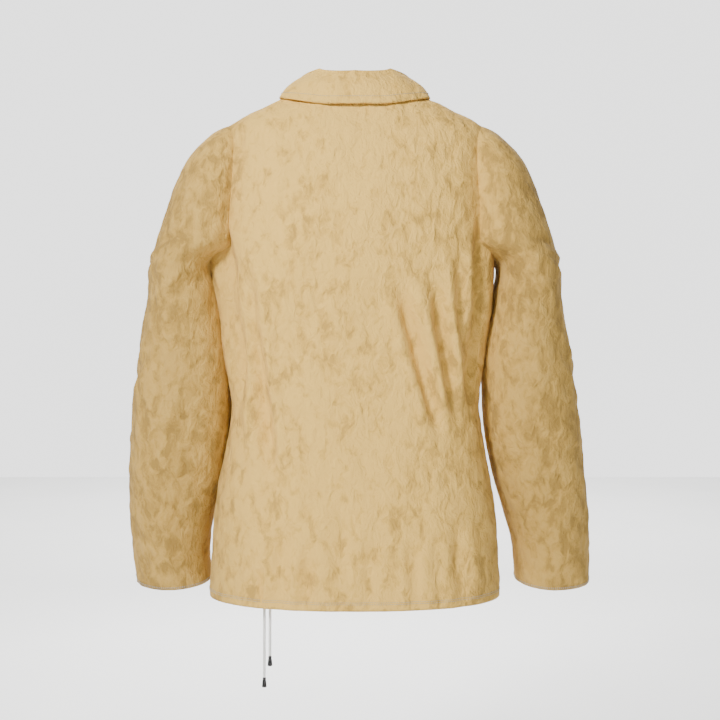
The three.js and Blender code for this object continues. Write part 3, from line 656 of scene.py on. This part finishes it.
def neck_top(around):
    """The drop at which a column of the body's cloth meets the neck opening."""
    low = np.zeros_like(around)
    high = np.full_like(around, SHOULDER * 1.6)
    for _ in range(30):
        middle = (low + high) / 2
        point = body(around, middle)
        outside = (point[..., 0] / NECK_WIDE) ** 2 + (
            (point[..., 1] + NECK_FORWARD) / NECK_DEEP) ** 2 > 1
        high = np.where(outside, middle, high)
        low = np.where(outside, low, middle)
    return (low + high) / 2


def bend_with_front(piece):
    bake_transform(piece)


def edge_angle(x, drop):
    """The angle at which the body's front is at a given x, past 180 degrees where x < 0."""
    share = np.clip(np.abs(x) / BODY(drop)[..., 0], 0, 1) ** (SQUARENESS / 2)
    return math.pi - np.sign(x) * np.arcsin(share)


def laid(surface, around, drop, depth, crushed=0.6):
    """Points on the folded cloth of the body, or a layer at a depth under it."""
    rest = surface(around, drop)
    out = normals(surface, around, np.maximum(drop, 0.01))
    lift = body_folds(rest) + crush(rest, crushed)
    first = neck_top(around)
    calm = smooth(drop - first, 2, 26) * lerp(0.4, 1, smooth(HEM - drop, 0, 12))
    return rest, rest + out * (lift * lerp(0.25, 1, calm) - depth)[..., None]


def body_cloth(name, span, depth, thickness, material, side=None, top=0.0, bottom=HEM,
               spacing=4.2, crushed=0.6):
    """One cut of cloth on the body, opened for the neck and the arms. The span is two
    angles in degrees, or on a front an angle and the x of its edge, for the left side."""
    count = int(math.ceil(620 / (spacing * FINE) * (1 if side is None else 0.52)))
    rows = int((bottom - top) / (spacing * FINE)) + 1
    share = np.linspace(0, 1, count)
    down = np.linspace(0, 1, rows)[:, None]
    low = math.radians(span[0])
    high = math.radians(span[1]) if side is None else math.pi
    around = low + (high - low) * share[None, :] + 0 * down
    for _ in range(4):
        first = np.maximum(neck_top(around[0]), top)
        drop = first[None, :] + (bottom - first)[None, :] * down
        if side is not None:
            around = low + (edge_angle(span[1], drop) - low) * share[None, :]
    surface = body
    if side == "right":
        surface = underlap
        around, drop = -around[:, ::-1], drop[:, ::-1]
    rest, points = laid(surface, around, drop, depth, crushed)
    gone = quads_where(inside_sleeve(rest, "left", 7)) | quads_where(inside_sleeve(rest, "right", 7))
    return sealed(name, points, False, gone, False, thickness, material)


# ---------------------------------------------------------------- cords and their bells
def smooth_path(points, spacing):
    """A centripetal Catmull-Rom line through points, sampled evenly, in millimetres."""
    points = np.array(points, float)
    padded_points = np.vstack([2 * points[0] - points[1], points, 2 * points[-1] - points[-2]])
    line = []
    for p0, p1, p2, p3 in zip(padded_points, padded_points[1:], padded_points[2:], padded_points[3:]):
        t1 = np.linalg.norm(p1 - p0) ** 0.5
        t2 = t1 + np.linalg.norm(p2 - p1) ** 0.5
        t3 = t2 + np.linalg.norm(p3 - p2) ** 0.5
        for t in np.linspace(t1, t2, 24, endpoint=False):
            a1 = (t1 - t) / t1 * p0 + t / t1 * p1
            a2 = (t2 - t) / (t2 - t1) * p1 + (t - t1) / (t2 - t1) * p2
            a3 = (t3 - t) / (t3 - t2) * p2 + (t - t2) / (t3 - t2) * p3
            b1 = (t2 - t) / t2 * a1 + t / t2 * a2
            b2 = (t3 - t) / (t3 - t1) * a2 + (t - t1) / (t3 - t1) * a3
            line.append((t2 - t) / (t2 - t1) * b1 + (t - t1) / (t2 - t1) * b2)
    line.append(points[-1])
    line = np.array(line)
    walked = np.concatenate([[0], np.cumsum(np.linalg.norm(np.diff(line, axis=0), axis=1))])
    even = steps(0, walked[-1], spacing)
    return np.stack([np.interp(even, walked, line[:, k]) for k in range(3)], axis=1)


def tube(name, path, radius, material, sides=16):
    """A round cord along a path in millimetres, with flat ends and a UV map that runs
    0.314 to a 1 mm strand along it, and whole strands round it."""
    tangent = np.gradient(path, axis=0)
    tangent /= np.linalg.norm(tangent, axis=1, keepdims=True)
    side = np.cross(tangent[0], [0.3, 0.2, 1.0])
    rings = []
    for i, (point, way) in enumerate(zip(path, tangent)):
        side = side - way * (side @ way)
        side /= np.linalg.norm(side)
        other = np.cross(way, side)
        turn = np.linspace(0, 2 * math.pi, sides, endpoint=False)
        rings.append(point + radius * (np.cos(turn)[:, None] * side + np.sin(turn)[:, None] * other))
    vertices = np.vstack(rings)
    count = len(path)
    faces = []
    for i in range(count - 1):
        for j in range(sides):
            k = (j + 1) % sides
            faces.append([i * sides + j, i * sides + k, (i + 1) * sides + k, (i + 1) * sides + j])
    faces.append([j for j in range(sides)][::-1])
    faces.append([(count - 1) * sides + j for j in range(sides)])
    mesh = bpy.data.meshes.new(name)
    mesh.from_pydata((vertices * MM).tolist(), [], faces)
    walked = np.concatenate([[0], np.cumsum(np.linalg.norm(np.diff(path, axis=0), axis=1))])
    uv = mesh.uv_layers.new(name="UVMap")
    for polygon in mesh.polygons:
        corners = [mesh.loops[k].vertex_index for k in polygon.loop_indices]
        last = max(c % sides for c in corners) == sides - 1 and min(c % sides for c in corners) == 0
        for k, c in zip(polygon.loop_indices, corners):
            j = c % sides
            j = sides if last and j == 0 and len(corners) == 4 else j
            uv.data[k].uv = (walked[c // sides] * 0.314, j / sides * 4 * 0.628)
    return finished(name, mesh, material)


def turned(name, profile, place, axis, material, sides=40):
    """A lathed piece. The profile is (radius, distance along the axis) in millimetres, in
    an order that has its outside on the right; it is closed if its ends meet or lie on the axis."""
    axis = Vector(axis).normalized()
    spin = axis.to_track_quat("Z", "Y").to_matrix()
    mesh = bpy.data.meshes.new(name)
    form = bmesh.new()
    loop = profile[0] == profile[-1]
    outline = profile[:-1] if loop else profile
    rings = []
    for radius, along in outline:
        if radius == 0:
            rings.append([form.verts.new(Vector(place) * MM + spin @ Vector((0, 0, along * MM)))])
            continue
        ring = []
        for k in range(sides):
            turn = 2 * math.pi * k / sides
            local = Vector((radius * math.cos(turn), radius * math.sin(turn), along)) * MM
            ring.append(form.verts.new(Vector(place) * MM + spin @ local))
        rings.append(ring)
    pairs = list(zip(rings, rings[1:])) + ([(rings[-1], rings[0])] if loop else [])
    for a, b in pairs:
        for k in range(sides):
            n = (k + 1) % sides
            corners = [a[k % len(a)], a[n % len(a)], b[n % len(b)], b[k % len(b)]]
            unique = list(dict.fromkeys(corners))
            form.faces.new(unique)
    bmesh.ops.recalc_face_normals(form, faces=form.faces)
    form.to_mesh(mesh)
    form.free()
    thing = finished(name, mesh, material)
    split = thing.modifiers.new("crisp", "EDGE_SPLIT")
    split.split_angle = math.radians(38)
    graph = bpy.context.evaluated_depsgraph_get()
    crisp = bpy.data.meshes.new_from_object(thing.evaluated_get(graph))
    thing.modifiers.clear()
    thing.data = crisp
    return thing


CORD_RADIUS = 1.8
CORD_DROP = HEM - 12
CORDS = {"long": {"x": 127.0, "end": HEM + 95, "keep": 1 - 65 / 108.3},
         "short": {"x": 118.4, "end": HEM + 66, "keep": 1 - 40 / 79.3}}


def hem_angle(x):
    return math.asin((x / 201) ** (SQUARENESS / 2))


def under(around, drop, depth):
    rest = body(around, drop)
    return rest - normals(body, np.asarray(around, float), np.asarray(drop, float)) * depth


BELL = [
    (0, 0.2), (1.3, 0.2), (1.9, 0.5), (2.25, 1.1), (2.3, 2.2), (2.05, 2.9), (2.1, 3.4),
    (2.55, 5.0), (2.8, 7.4), (3.0, 10.2), (3.25, 11.6), (3.2, 12.4), (2.8, 12.9), (2.1, 13.0),
    (1.9, 12.4), (1.8, 11.0), (0, 10.6),
]


def free_cord(name):
    facts = CORDS[name]
    around = hem_angle(facts["x"])
    route = [under(around, CORD_DROP, depth) - [0, 0, lower]
             for depth, lower in ((7, 0), (12, 0), (15.5, 2), (18, 6.5), (19, 14))]
    hanging = route[-1]
    foot = np.array([hanging[0], hanging[1], -facts["end"]])
    route += [lerp(hanging, foot, 0.5), foot]
    path = smooth_path(route, 0.8)
    cord = tube(f"cord_end_{name}_braid", path, CORD_RADIUS, BRAID)
    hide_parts(f"cord_end_{name}")
    bell = turned(f"bell_{name}", BELL, foot + [0, 0, -0.3], (0, 0, -1), METAL)
    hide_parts(f"cord_bell_{name}")
    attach(bell, f"{name}_bell")
    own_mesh(cord)
    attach(cord, "root")
    return path


for cord_name in CORDS:
    free_cord(cord_name)


# ---------------------------------------------------------------- cloth of the body
def body_pieces():
    back = body_cloth("back_cloth", (-SIDE, SIDE), 0, CLOTH, SUEDE)
    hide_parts("back_panel")
    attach(back, "root")
    lining = body_cloth("back_lining_cloth", (-SIDE, SIDE), 5.2, 0.8, SATIN,
                        top=58, bottom=HEM - 29, spacing=7, crushed=0.1)
    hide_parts("back_lining")
    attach(lining, "root")
    facing = body_cloth("back_neck_facing_cloth", (-78, 78), 5.2, 0.8, SUEDE,
                        bottom=58, spacing=5, crushed=0.1)
    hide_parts("back_neck_facing")
    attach(facing, "root")
    for side in ("left", "right"):
        front = body_cloth(f"{side}_front_cloth", (SIDE, -OVERLAP), 0, CLOTH, SUEDE,
                           side=side)
        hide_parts(f"{side}_front_panel", f"{side}_side_panel")
        bend_with_front(front)
        lining = body_cloth(f"{side}_front_lining_cloth", (SIDE, 29), 5.2, 0.8, SATIN,
                            side=side, bottom=HEM - 29, spacing=7, crushed=0.1)
        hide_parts(f"{side}_front_lining", f"{side}_side_lining")
        bend_with_front(lining)


body_pieces()


# ---------------------------------------------------------------- sleeves
def sleeve_rows(side, spacing, last=CUFF_RING):
    """Ring numbers that stand about evenly along the sleeve."""
    fine = np.arange(0, last + 0.001, 0.05)
    drops = SLEEVES[side](fine)
    line = np.stack([drops[:, 0], drops[:, 1] + drops[:, 2]], axis=1)
    walked = np.concatenate([[0], np.cumsum(np.linalg.norm(np.diff(line, axis=0), axis=1))])
    return np.interp(steps(0, walked[-1], spacing * FINE), walked, fine)


def sleeve_lift(rest, around, along, side):
    """How far the sleeve's cloth stands off its plain shape, in millimetres."""
    toward = 1 if side == "left" else -1
    share = along / CUFF_RING
    turn = np.degrees(around) * toward
    lift = np.zeros(rest.shape[:-1])
    for (a0, s0), (a1, s1), width, depth in SLEEVE_FOLDS:
        for whole in (-360, 0, 360):
            flat = np.stack([(turn + whole) * 1.02, 0 * turn, share * 640], axis=-1)
            lift += 0.3 * valley(flat, (a0 * 1.02, s0 * 640), (a1 * 1.02, s1 * 640), width, depth)
    waves = 2.6 * ripple(rest * [1, 1, 0.6], 58, 31) + 1.5 * ripple(rest * [1, 1, 0.8], 25, 32)
    calm = smooth(along, 4, 10) * lerp(0.5, 1, smooth(CUFF_RING - along, 0, 0.25))
    facing_body = smooth(-np.sin(around) * toward, 0.2, 0.9)
    near = smooth(along, 8.4, 9.6) * (1 - smooth(along, 13.4, 14.6))
    pressed = (7.5 if side == "left" else 2.5) * facing_body * near
    return (lift + waves) * calm * (1 - 0.6 * facing_body) + pressed + crush(rest, 0.6) * smooth(along, 1, 3)


def sleeve_cloth(name, side, first, last, depth, thickness, material, spacing=4.2):
    surface = sleeve(side)
    rows = sleeve_rows(side, spacing)
    rows = np.concatenate([rows[(rows > first + 0.02) & (rows < last - 0.02)], [last]])
    rows = np.concatenate([[first], rows])
    columns = int(340 / (spacing * FINE))
    around = np.linspace(0, 2 * math.pi, columns, endpoint=False)[None, :] + 0 * rows[:, None]
    along = rows[:, None] + 0 * around
    rest = surface(around, along)
    out = normals(surface, around, np.clip(along, 0.01, CUFF_RING - 0.01))
    points = rest + out * (sleeve_lift(rest, around, along, side) - depth)[..., None]
    gone = quads_where(inside_body(rest, 9), wrap=True)
    return sealed(name, points, True, gone, False, thickness, material)


CUFF_TURN_RING = CUFF_RING - 22 / (0.12 * (SLEEVE_DROP - ARMHOLE))


def sleeve_pieces(side):
    outer = sleeve_cloth(f"{side}_sleeve_cloth", side, 0, CUFF_RING, 0, CLOTH, SUEDE)
    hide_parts(f"{side}_sleeve")
    lining = sleeve_cloth(f"{side}_sleeve_lining_cloth", side, 2, CUFF_TURN_RING - 0.05, 5.2, 0.8,
                          SATIN, spacing=8)
    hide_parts(f"{side}_sleeve_lining")
    turned_up = sleeve_cloth(f"{side}_cuff_turn", side, CUFF_TURN_RING, CUFF_RING - 0.01, 2.6, 1.2,
                             SUEDE)
    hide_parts(f"{side}_cuff_facing")
    for piece in (outer, lining):
        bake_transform(piece)
    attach(turned_up, f"{side}_arm")


for sleeve_side in ("left", "right"):
    sleeve_pieces(sleeve_side)


# ---------------------------------------------------------------- collar
def collar_section(angle):
    """Points across the collar at an angle, on its seen face: from the foot of the stand
    inside the neck, over the fold, to the leaf's edge. Returns rows x angles x 3."""
    heading = np.stack([np.sin(angle), np.cos(angle), 0 * angle], axis=-1)
    rows = []
    for down in np.linspace(1, 0.08, 7):
        rows.append(stand(angle, down) - heading * 2.0)
    inner = stand(angle, 0.08) - heading * 2.0
    outer = leaf(angle, 0.03) + heading * 2.4
    for turn in np.linspace(0, math.pi, 9)[1:-1]:
        middle = lerp(inner, outer, (1 - math.cos(turn)) / 2)
        rows.append(middle + np.array([0, 0, 1.0]) * 4.6 * math.sin(turn))
    for out in np.linspace(0.03, 1, 17):
        slope = lerp(heading, np.array([0, 0, 1.0]), 0.35)
        slope = slope / np.linalg.norm(slope, axis=-1, keepdims=True)
        rows.append(leaf(angle, out) + slope * 2.4)
    return np.array(rows)


def collar_cloth(name, low, high):
    angle = np.radians(steps(low, high, 2.2 * FINE))
    points = collar_section(angle)
    heading = np.stack([np.sin(angle), np.cos(angle), 0 * angle], axis=-1)
    wave = 0.9 * ripple(points, 38, 51) + 0.25 * ripple(points, 13, 52)
    down = np.linspace(0, 1, len(points))[:, None]
    points = points + heading[None] * (wave * smooth(down, 0.35, 0.6))[..., None]
    return sealed(name, points, False, None, False, 2.0, SUEDE)


COLLAR_SPLIT = 112


def collar_pieces():
    back = collar_cloth("collar_cloth", -COLLAR_SPLIT, COLLAR_SPLIT)
    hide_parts("collar_stand", "collar_leaf")
    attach(back, "root")
    for side in ("left", "right"):
        toward = 1 if side == "left" else -1
        span = sorted((toward * COLLAR_SPLIT, toward * 174))
        end = collar_cloth(f"{side}_collar_end_cloth", *span)
        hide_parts(f"{side}_collar_stand_end", f"{side}_collar_leaf_end")
        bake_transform(end)


collar_pieces()


# ---------------------------------------------------------------- facings, hem and channel
def band(name, angles, rows, depth, thickness, material, surface=body):
    """A strip of cloth under the outer cloth, following its folds."""
    around = angles[None, :] + 0 * rows[:, None]
    drop = rows[:, None] + 0 * around
    _, points = laid(surface, around, drop, depth)
    return sealed(name, points, False, None, False, thickness, material)


def hem_pieces():
    rows = steps(HEM - 25, HEM - 1, 3)
    for side in ("left", "right"):
        toward = 1 if side == "left" else -1
        surface = body if side == "left" else underlap
        ends = sorted((toward * math.radians(124), toward * float(edge_angle(-OVERLAP, HEM))))
        angles = steps(*ends, 0.02 * FINE)
        turn = band(f"{side}_front_hem_cloth", angles, rows, 2.1, 1.2, SUEDE, surface)
        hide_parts(f"{side}_front_hem")
        bend_with_front(turn)
        columns = np.linspace(0, 1, 14)
        down = np.linspace(0, 1, int(150 / FINE))[:, None]
        drop = np.full((len(down), len(columns)), 0.0)
        around = np.full(drop.shape, math.pi)
        for _ in range(4):
            first = neck_top(around[0])
            drop = first[None, :] + (HEM - 26 - first)[None, :] * down
            low, high = edge_angle(28, drop), edge_angle(-OVERLAP, drop)
            around = low + (high - low) * columns[None, :]
        if side == "right":
            around, drop = -around[:, ::-1], drop[:, ::-1]
        _, points = laid(surface, around, drop, 2.1)
        facing = sealed(f"{side}_front_facing_cloth", points, False, None, False, 1.2, SUEDE)
        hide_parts(f"{side}_front_facing")
        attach(facing, f"{side}_front")
    angles = np.radians(steps(-121, 121, 1.6 * FINE))
    section = [(HEM - 25, 2.1), (HEM - 24.6, 6.4), (HEM - 22, 7.4), (HEM - 13, 7.6),
               (HEM - 4, 7.4), (HEM - 1.4, 6.4), (HEM - 1, 2.1)]
    around = np.tile(angles, (len(section), 1))
    drop = np.array([row[0] for row in section])[:, None] + 0 * around
    depth = np.array([row[1] for row in section])[:, None]
    _, points = laid(body, around, drop, depth)
    channel = sealed("hem_channel_cloth", points, False, None, False, 1.2, SUEDE)
    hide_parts("hem_channel")
    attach(channel, "root")


hem_pieces()


def held_cord(name, low, high):
    angles = steps(low, high, 0.02)
    around, drop = angles, np.full_like(angles, CORD_DROP)
    _, path = laid(body, around, drop, 4.9)
    cord = tube(f"hem_cord_{name}_braid", smooth_path(path, 2.5), 1.7, BRAID, sides=12)
    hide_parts(f"hem_cord_{name}")
    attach(cord, "root")


held_cord("left", math.radians(118), hem_angle(127.0))
held_cord("right", math.radians(-118), hem_angle(118.4))


# ---------------------------------------------------------------- snaps, eyelets, trim
def at_cloth(surface, around, drop, depth=0.0):
    _, point = laid(surface, np.array([[around]]), np.array([[drop]]), depth)
    out = normals(surface, np.array([[around]]), np.array([[drop]]))
    return point[0, 0], out[0, 0]


CAP = [(0, -2.7), (2.4, -2.65), (4.2, -2.45), (5.4, -2.05), (6.1, -1.5), (6.5, -0.95), (6.5, -0.5),
       (6.2, -0.3), (1.8, -0.3), (1.8, 3.3), (0, 3.3)]
SOCKET = [(2.9, 3.9), (4.9, 3.9), (5.6, 4.2), (5.6, 4.8), (5.2, 5.2), (2.9, 5.2), (2.9, 3.9)]
STUD = [(0, 4.0), (1.9, 4.05), (2.3, 4.3), (2.35, 4.8), (1.9, 5.4), (1.8, 5.6), (4.6, 5.65),
        (4.75, 5.9), (4.6, 6.1), (1.8, 6.1), (1.8, 10.3), (4.6, 10.4), (4.75, 10.8), (4.4, 11.2),
        (0, 11.3)]
EYELET = [(2.5, 7.0), (2.9, 7.0), (3.0, 9.3), (4.0, 9.4), (4.3, 9.8), (4.1, 10.3), (3.2, 10.5),
          (2.6, 10.2), (2.5, 7.0)]


def fittings():
    drops = np.linspace(118, HEM - 52, 5)
    for i, drop in enumerate(drops, 1):
        for part, profile, rider in (("cap", CAP, "left_front"), ("socket", SOCKET, "left_front"),
                                     ("stud", STUD, "right_front")):
            place, out = at_cloth(body, math.pi, drop)
            made = turned(f"{part}_{i}", profile, place, -out, METAL)
            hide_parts(f"snap_{part}_{i}")
            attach(made, rider)
    for name, facts in CORDS.items():
        around = hem_angle(facts["x"])
        rest = body(around, CORD_DROP)
        out = normals(body, np.asarray(around, float), np.asarray(CORD_DROP, float))
        made = turned(f"eyelet_{name}_ring", EYELET, rest, -out, METAL)
        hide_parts(f"eyelet_{name}")
        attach(made, "root")


fittings()


# Middle of each pocket, across and down, and its slant in radians
POCKET_X, POCKET_DROP, POCKET_SLANT = 84, 470, -0.16


def pocket_pieces():
    """Each pocket's welt on the outside and its flat bag inside, both on the slant."""
    for side in ("left", "right"):
        surface = body if side == "left" else underlap
        for part, half_long, low, high, depth, thick, material, slot in (
                ("welt", 70, -9, 9, -2.0, 1.5, SUEDE, "suede_cloth"),
                ("bag", 75, -53, 9, 2.6, 1.2, COTTON, "pocket_cotton")):
            s = steps(-half_long, half_long, 4)[:, None]
            t = steps(low, high, 3.5)[None, :]
            x = POCKET_X + t * math.cos(POCKET_SLANT) + s * math.sin(POCKET_SLANT)
            x = np.maximum(x, 29.5)
            drop = POCKET_DROP + s * math.cos(POCKET_SLANT) + t * math.sin(POCKET_SLANT)
            around = edge_angle(x, drop)
            if side == "left":
                around, drop = around[:, ::-1], drop[:, ::-1]
            else:
                around = -around
            _, points = laid(surface, around, drop, depth)
            piece = sealed(f"{side}_pocket_{part}_cloth", points, False, None, False, thick,
                           material)
            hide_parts(f"{side}_pocket_{part}")
            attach(piece, f"{side}_front")


pocket_pieces()


def label_and_loop():
    around = np.radians(steps(-8, 8, 0.5))
    rows = steps(0.38 * 58, 0.74 * 58, 2)
    label = band("neck_label_cloth", around, rows, 8.2, 0.6, LABEL)
    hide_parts("neck_label")
    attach(label, "root")
    low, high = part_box("hanger_loop")
    wide = (high.x - low.x) / 2 / MM
    tall = (high.z - low.z) / MM
    middle = (low.y + high.y) / 2 / MM
    top = high.z / MM
    line = [(-wide + 0.7, 0), (-wide + 0.7, -tall * 0.45), (-wide + 3.2, -tall + 3.0),
            (-wide * 0.55, -tall + 0.7), (0, -tall + 0.6), (wide * 0.55, -tall + 0.7),
            (wide - 3.2, -tall + 3.0), (wide - 0.7, -tall * 0.45), (wide - 0.7, 0)]
    path = smooth_path([(x, middle, top + z) for x, z in line], 1.2)
    rows = np.array([path + [0, offset, 0] for offset in np.linspace(-3.5, 3.5, 5)])
    loop = sealed("hanger_loop_tape", rows, False, None, True, 1.1, TAPE)
    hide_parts("hanger_loop")
    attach(loop, "loop")


label_and_loop()


# ---------------------------------------------------------------- stitching
STITCH_LONG, STITCH_PITCH, STITCH_THICK = 2.3, 2.9, 0.42


def stitch_tree():
    """Geometry Nodes that lay a stitch at every pitch along a line of vertices."""
    tree = bpy.data.node_groups.new("stitches", "GeometryNodeTree")
    face = tree.interface
    face.new_socket("Geometry", in_out="INPUT", socket_type="NodeSocketGeometry")
    face.new_socket("Pitch", in_out="INPUT", socket_type="NodeSocketFloat").default_value = (
        STITCH_PITCH * MM)
    face.new_socket("Stitch", in_out="INPUT", socket_type="NodeSocketObject")
    face.new_socket("Thread", in_out="INPUT", socket_type="NodeSocketMaterial")
    face.new_socket("Geometry", in_out="OUTPUT", socket_type="NodeSocketGeometry")
    given = node(tree, "NodeGroupInput").outputs
    line = node(tree, "GeometryNodeMeshToCurve", {"Mesh": given["Geometry"]})
    even = node(tree, "GeometryNodeResampleCurve", {"Curve": line.outputs[0], "Length": given["Pitch"]},
                mode="LENGTH")
    way = node(tree, "GeometryNodeInputTangent").outputs[0]
    turn = node(tree, "FunctionNodeAlignRotationToVector", {"Vector": way}, axis="X").outputs[0]
    shape = node(tree, "GeometryNodeObjectInfo", {"Object": given["Stitch"]}).outputs["Geometry"]
    laid_out = node(tree, "GeometryNodeInstanceOnPoints", {
        "Points": even.outputs[0], "Instance": shape, "Rotation": turn})
    real = node(tree, "GeometryNodeRealizeInstances", {"Geometry": laid_out.outputs[0]})
    dyed = node(tree, "GeometryNodeSetMaterial", {"Geometry": real.outputs[0],
                                                  "Material": given["Thread"]})
    output = tree.nodes.new("NodeGroupOutput")
    tree.links.new(dyed.outputs[0], output.inputs[0])
    return tree


def one_stitch():
    """A single stitch along X, round in section and tapered to its ends."""
    mesh = bpy.data.meshes.new("one_stitch")
    form = bmesh.new()
    bmesh.ops.create_uvsphere(form, u_segments=6, v_segments=5, radius=1.0)
    spin = Matrix.Rotation(math.pi / 2, 4, "Y")
    size = Matrix.Diagonal((STITCH_LONG / 2 * MM, STITCH_THICK * MM, STITCH_THICK * 0.8 * MM, 1))
    bmesh.ops.transform(form, matrix=size @ spin, verts=form.verts)
    form.to_mesh(mesh)
    form.free()
    return bpy.data.objects.new("one_stitch", mesh)


STITCH_SKIP = 1.0 if FINE == 1 else 2.0
STITCH = one_stitch()
STITCHES = stitch_tree()


def sew(name, lines, move):
    """Rows of stitches along lines of points in millimetres, made plain and then moved."""
    points, edges = [], []
    for line in lines:
        first = len(points)
        points += (np.asarray(line) * MM).tolist()
        edges += [(first + i, first + i + 1) for i in range(len(line) - 1)]
    mesh = bpy.data.meshes.new(name)
    mesh.from_pydata(points, edges, [])
    carrier = bpy.data.objects.new(name + "_line", mesh)
    bpy.context.scene.collection.objects.link(carrier)
    grown = carrier.modifiers.new("stitches", "NODES")
    grown.node_group = STITCHES
    for item in STITCHES.interface.items_tree:
        if item.in_out == "INPUT" and item.name == "Stitch":
            grown[item.identifier] = STITCH
        if item.in_out == "INPUT" and item.name == "Thread":
            grown[item.identifier] = THREAD
        if item.in_out == "INPUT" and item.name == "Pitch":
            grown[item.identifier] = STITCH_PITCH * MM * STITCH_SKIP
    carrier.update_tag()
    graph = bpy.context.evaluated_depsgraph_get()
    final = bpy.data.meshes.new_from_object(carrier.evaluated_get(graph))
    bpy.data.objects.remove(carrier)
    made = finished(name, final, THREAD)
    move(made)
    return made


def cloth_line(surface, around, drop, lift=0.25):
    _, points = laid(surface, np.atleast_2d(around), np.atleast_2d(drop), -lift)
    return points[0]


def sewing():
    rows = (HEM - 9.0, HEM - 11.4)
    angles = np.radians(steps(-SIDE, SIDE, 0.6))
    sew("hem_stitches_back", [cloth_line(body, angles, angles * 0 + row) for row in rows],
        lambda made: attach(made, "root"))
    for side in ("left", "right"):
        toward = 1 if side == "left" else -1
        surface = body if side == "left" else underlap
        end = float(edge_angle(-OVERLAP + 6, HEM))
        angles = steps(math.radians(SIDE), end, 0.01)
        lines = [cloth_line(surface, toward * angles, angles * 0 + row) for row in rows]
        drops = steps(92, HEM - 9, 3)
        lines.append(cloth_line(surface, toward * edge_angle(-OVERLAP + 6, drops), drops))
        sew(f"{side}_front_stitches", lines, lambda made, side=side: bend_with_front(made))
        around = np.linspace(0, 2 * math.pi, 200)
        lines = []
        for back in (0.16, 0.205):
            along = np.full_like(around, CUFF_RING - back)
            rest = sleeve(side)(around, along)
            out = normals(sleeve(side), around, along)
            lines.append(rest + out * (sleeve_lift(rest, around, along, side) + 0.25)[:, None])
        sew(f"{side}_cuff_stitches", lines, lambda made, side=side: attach(made, f"{side}_arm"))
        welt = []
        for t in (-7.4, 7.4):
            s_line = steps(-68.5, 68.5, 3)
            x = POCKET_X + t * math.cos(POCKET_SLANT) + s_line * math.sin(POCKET_SLANT)
            drop = POCKET_DROP + s_line * math.cos(POCKET_SLANT) + t * math.sin(POCKET_SLANT)
            welt.append(cloth_line(surface, toward * edge_angle(x, drop), drop, 2.3))
        sew(f"{side}_welt_stitches", welt, lambda made, side=side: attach(made, f"{side}_front"))
    angle = np.radians(steps(-COLLAR_SPLIT, COLLAR_SPLIT, 1))
    edge = collar_section(angle)
    heading = np.stack([np.sin(angle), np.cos(angle), 0 * angle], axis=-1)
    wave = 0.9 * ripple(edge, 38, 51) + 0.25 * ripple(edge, 13, 52)
    sewn = (edge + heading[None] * wave[..., None])[-4] + heading * 0.3 + [0, 0, 0.2]
    sew("collar_stitches", [sewn], lambda made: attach(made, "root"))


sewing()

# ---------------------------------------------------------------- stage and light
def build_stage():
    mesh = bpy.data.meshes.new("floor")
    mesh.from_pydata([(-9, -9, FLOOR_Z), (9, -9, FLOOR_Z), (9, 9, FLOOR_Z), (-9, 9, FLOOR_Z)], [],
                     [(0, 1, 2, 3)])
    material, tree, output = new_material("studio_floor")
    place = node(tree, "ShaderNodeTexCoord").outputs["Object"]
    cloud = node(tree, "ShaderNodeTexNoise", {"Vector": place, "Scale": 2})
    shade = ramp(tree, cloud.outputs["Fac"], [(0.3, "#f4f4f3"), (0.7, "#f7f7f6")])
    surface = node(tree, "ShaderNodeBsdfPrincipled", {"Base Color": shade, "Roughness": 0.9})
    tree.links.new(surface.outputs[0], output.inputs[0])
    floor = finished("floor", mesh, material)
    wall = bpy.data.meshes.new("backdrop")
    wall.from_pydata([(-12, -7, FLOOR_Z), (12, -7, FLOOR_Z), (12, -7, 8), (-12, -7, 8)], [],
                     [(3, 2, 1, 0)])
    glow, tree, output = new_material("lit_backdrop")
    place = node(tree, "ShaderNodeTexCoord").outputs["Object"]
    cloud = node(tree, "ShaderNodeTexNoise", {"Vector": place, "Scale": 0.4})
    shade = ramp(tree, cloud.outputs["Fac"], [(0.3, "#fdfdfc"), (0.7, "#ffffff")])
    lit = node(tree, "ShaderNodeEmission", {"Color": shade, "Strength": 2.4})
    tree.links.new(lit.outputs[0], output.inputs[0])
    backdrop = finished("backdrop", wall, glow)
    world = bpy.data.worlds.new("studio")
    world.use_nodes = True
    world.node_tree.nodes["Background"].inputs[0].default_value = (1, 1, 1, 1)
    world.node_tree.nodes["Background"].inputs[1].default_value = 0.30
    bpy.context.scene.world = world
    middle = (0, 0, -0.37)
    area_light("key", (1.05, 1.75, 1.0), middle, 0.40, 98)
    area_light("fill", (-0.6, 2.5, -0.2), middle, 1.4, 18)
    area_light("front", (0.2, -2.4, 0.5), middle, 2.0, 60)
    area_light("floor_wash", (0, -4.2, 2.6), (0, -4.2, FLOOR_Z), 4.5, 420)


build_stage()
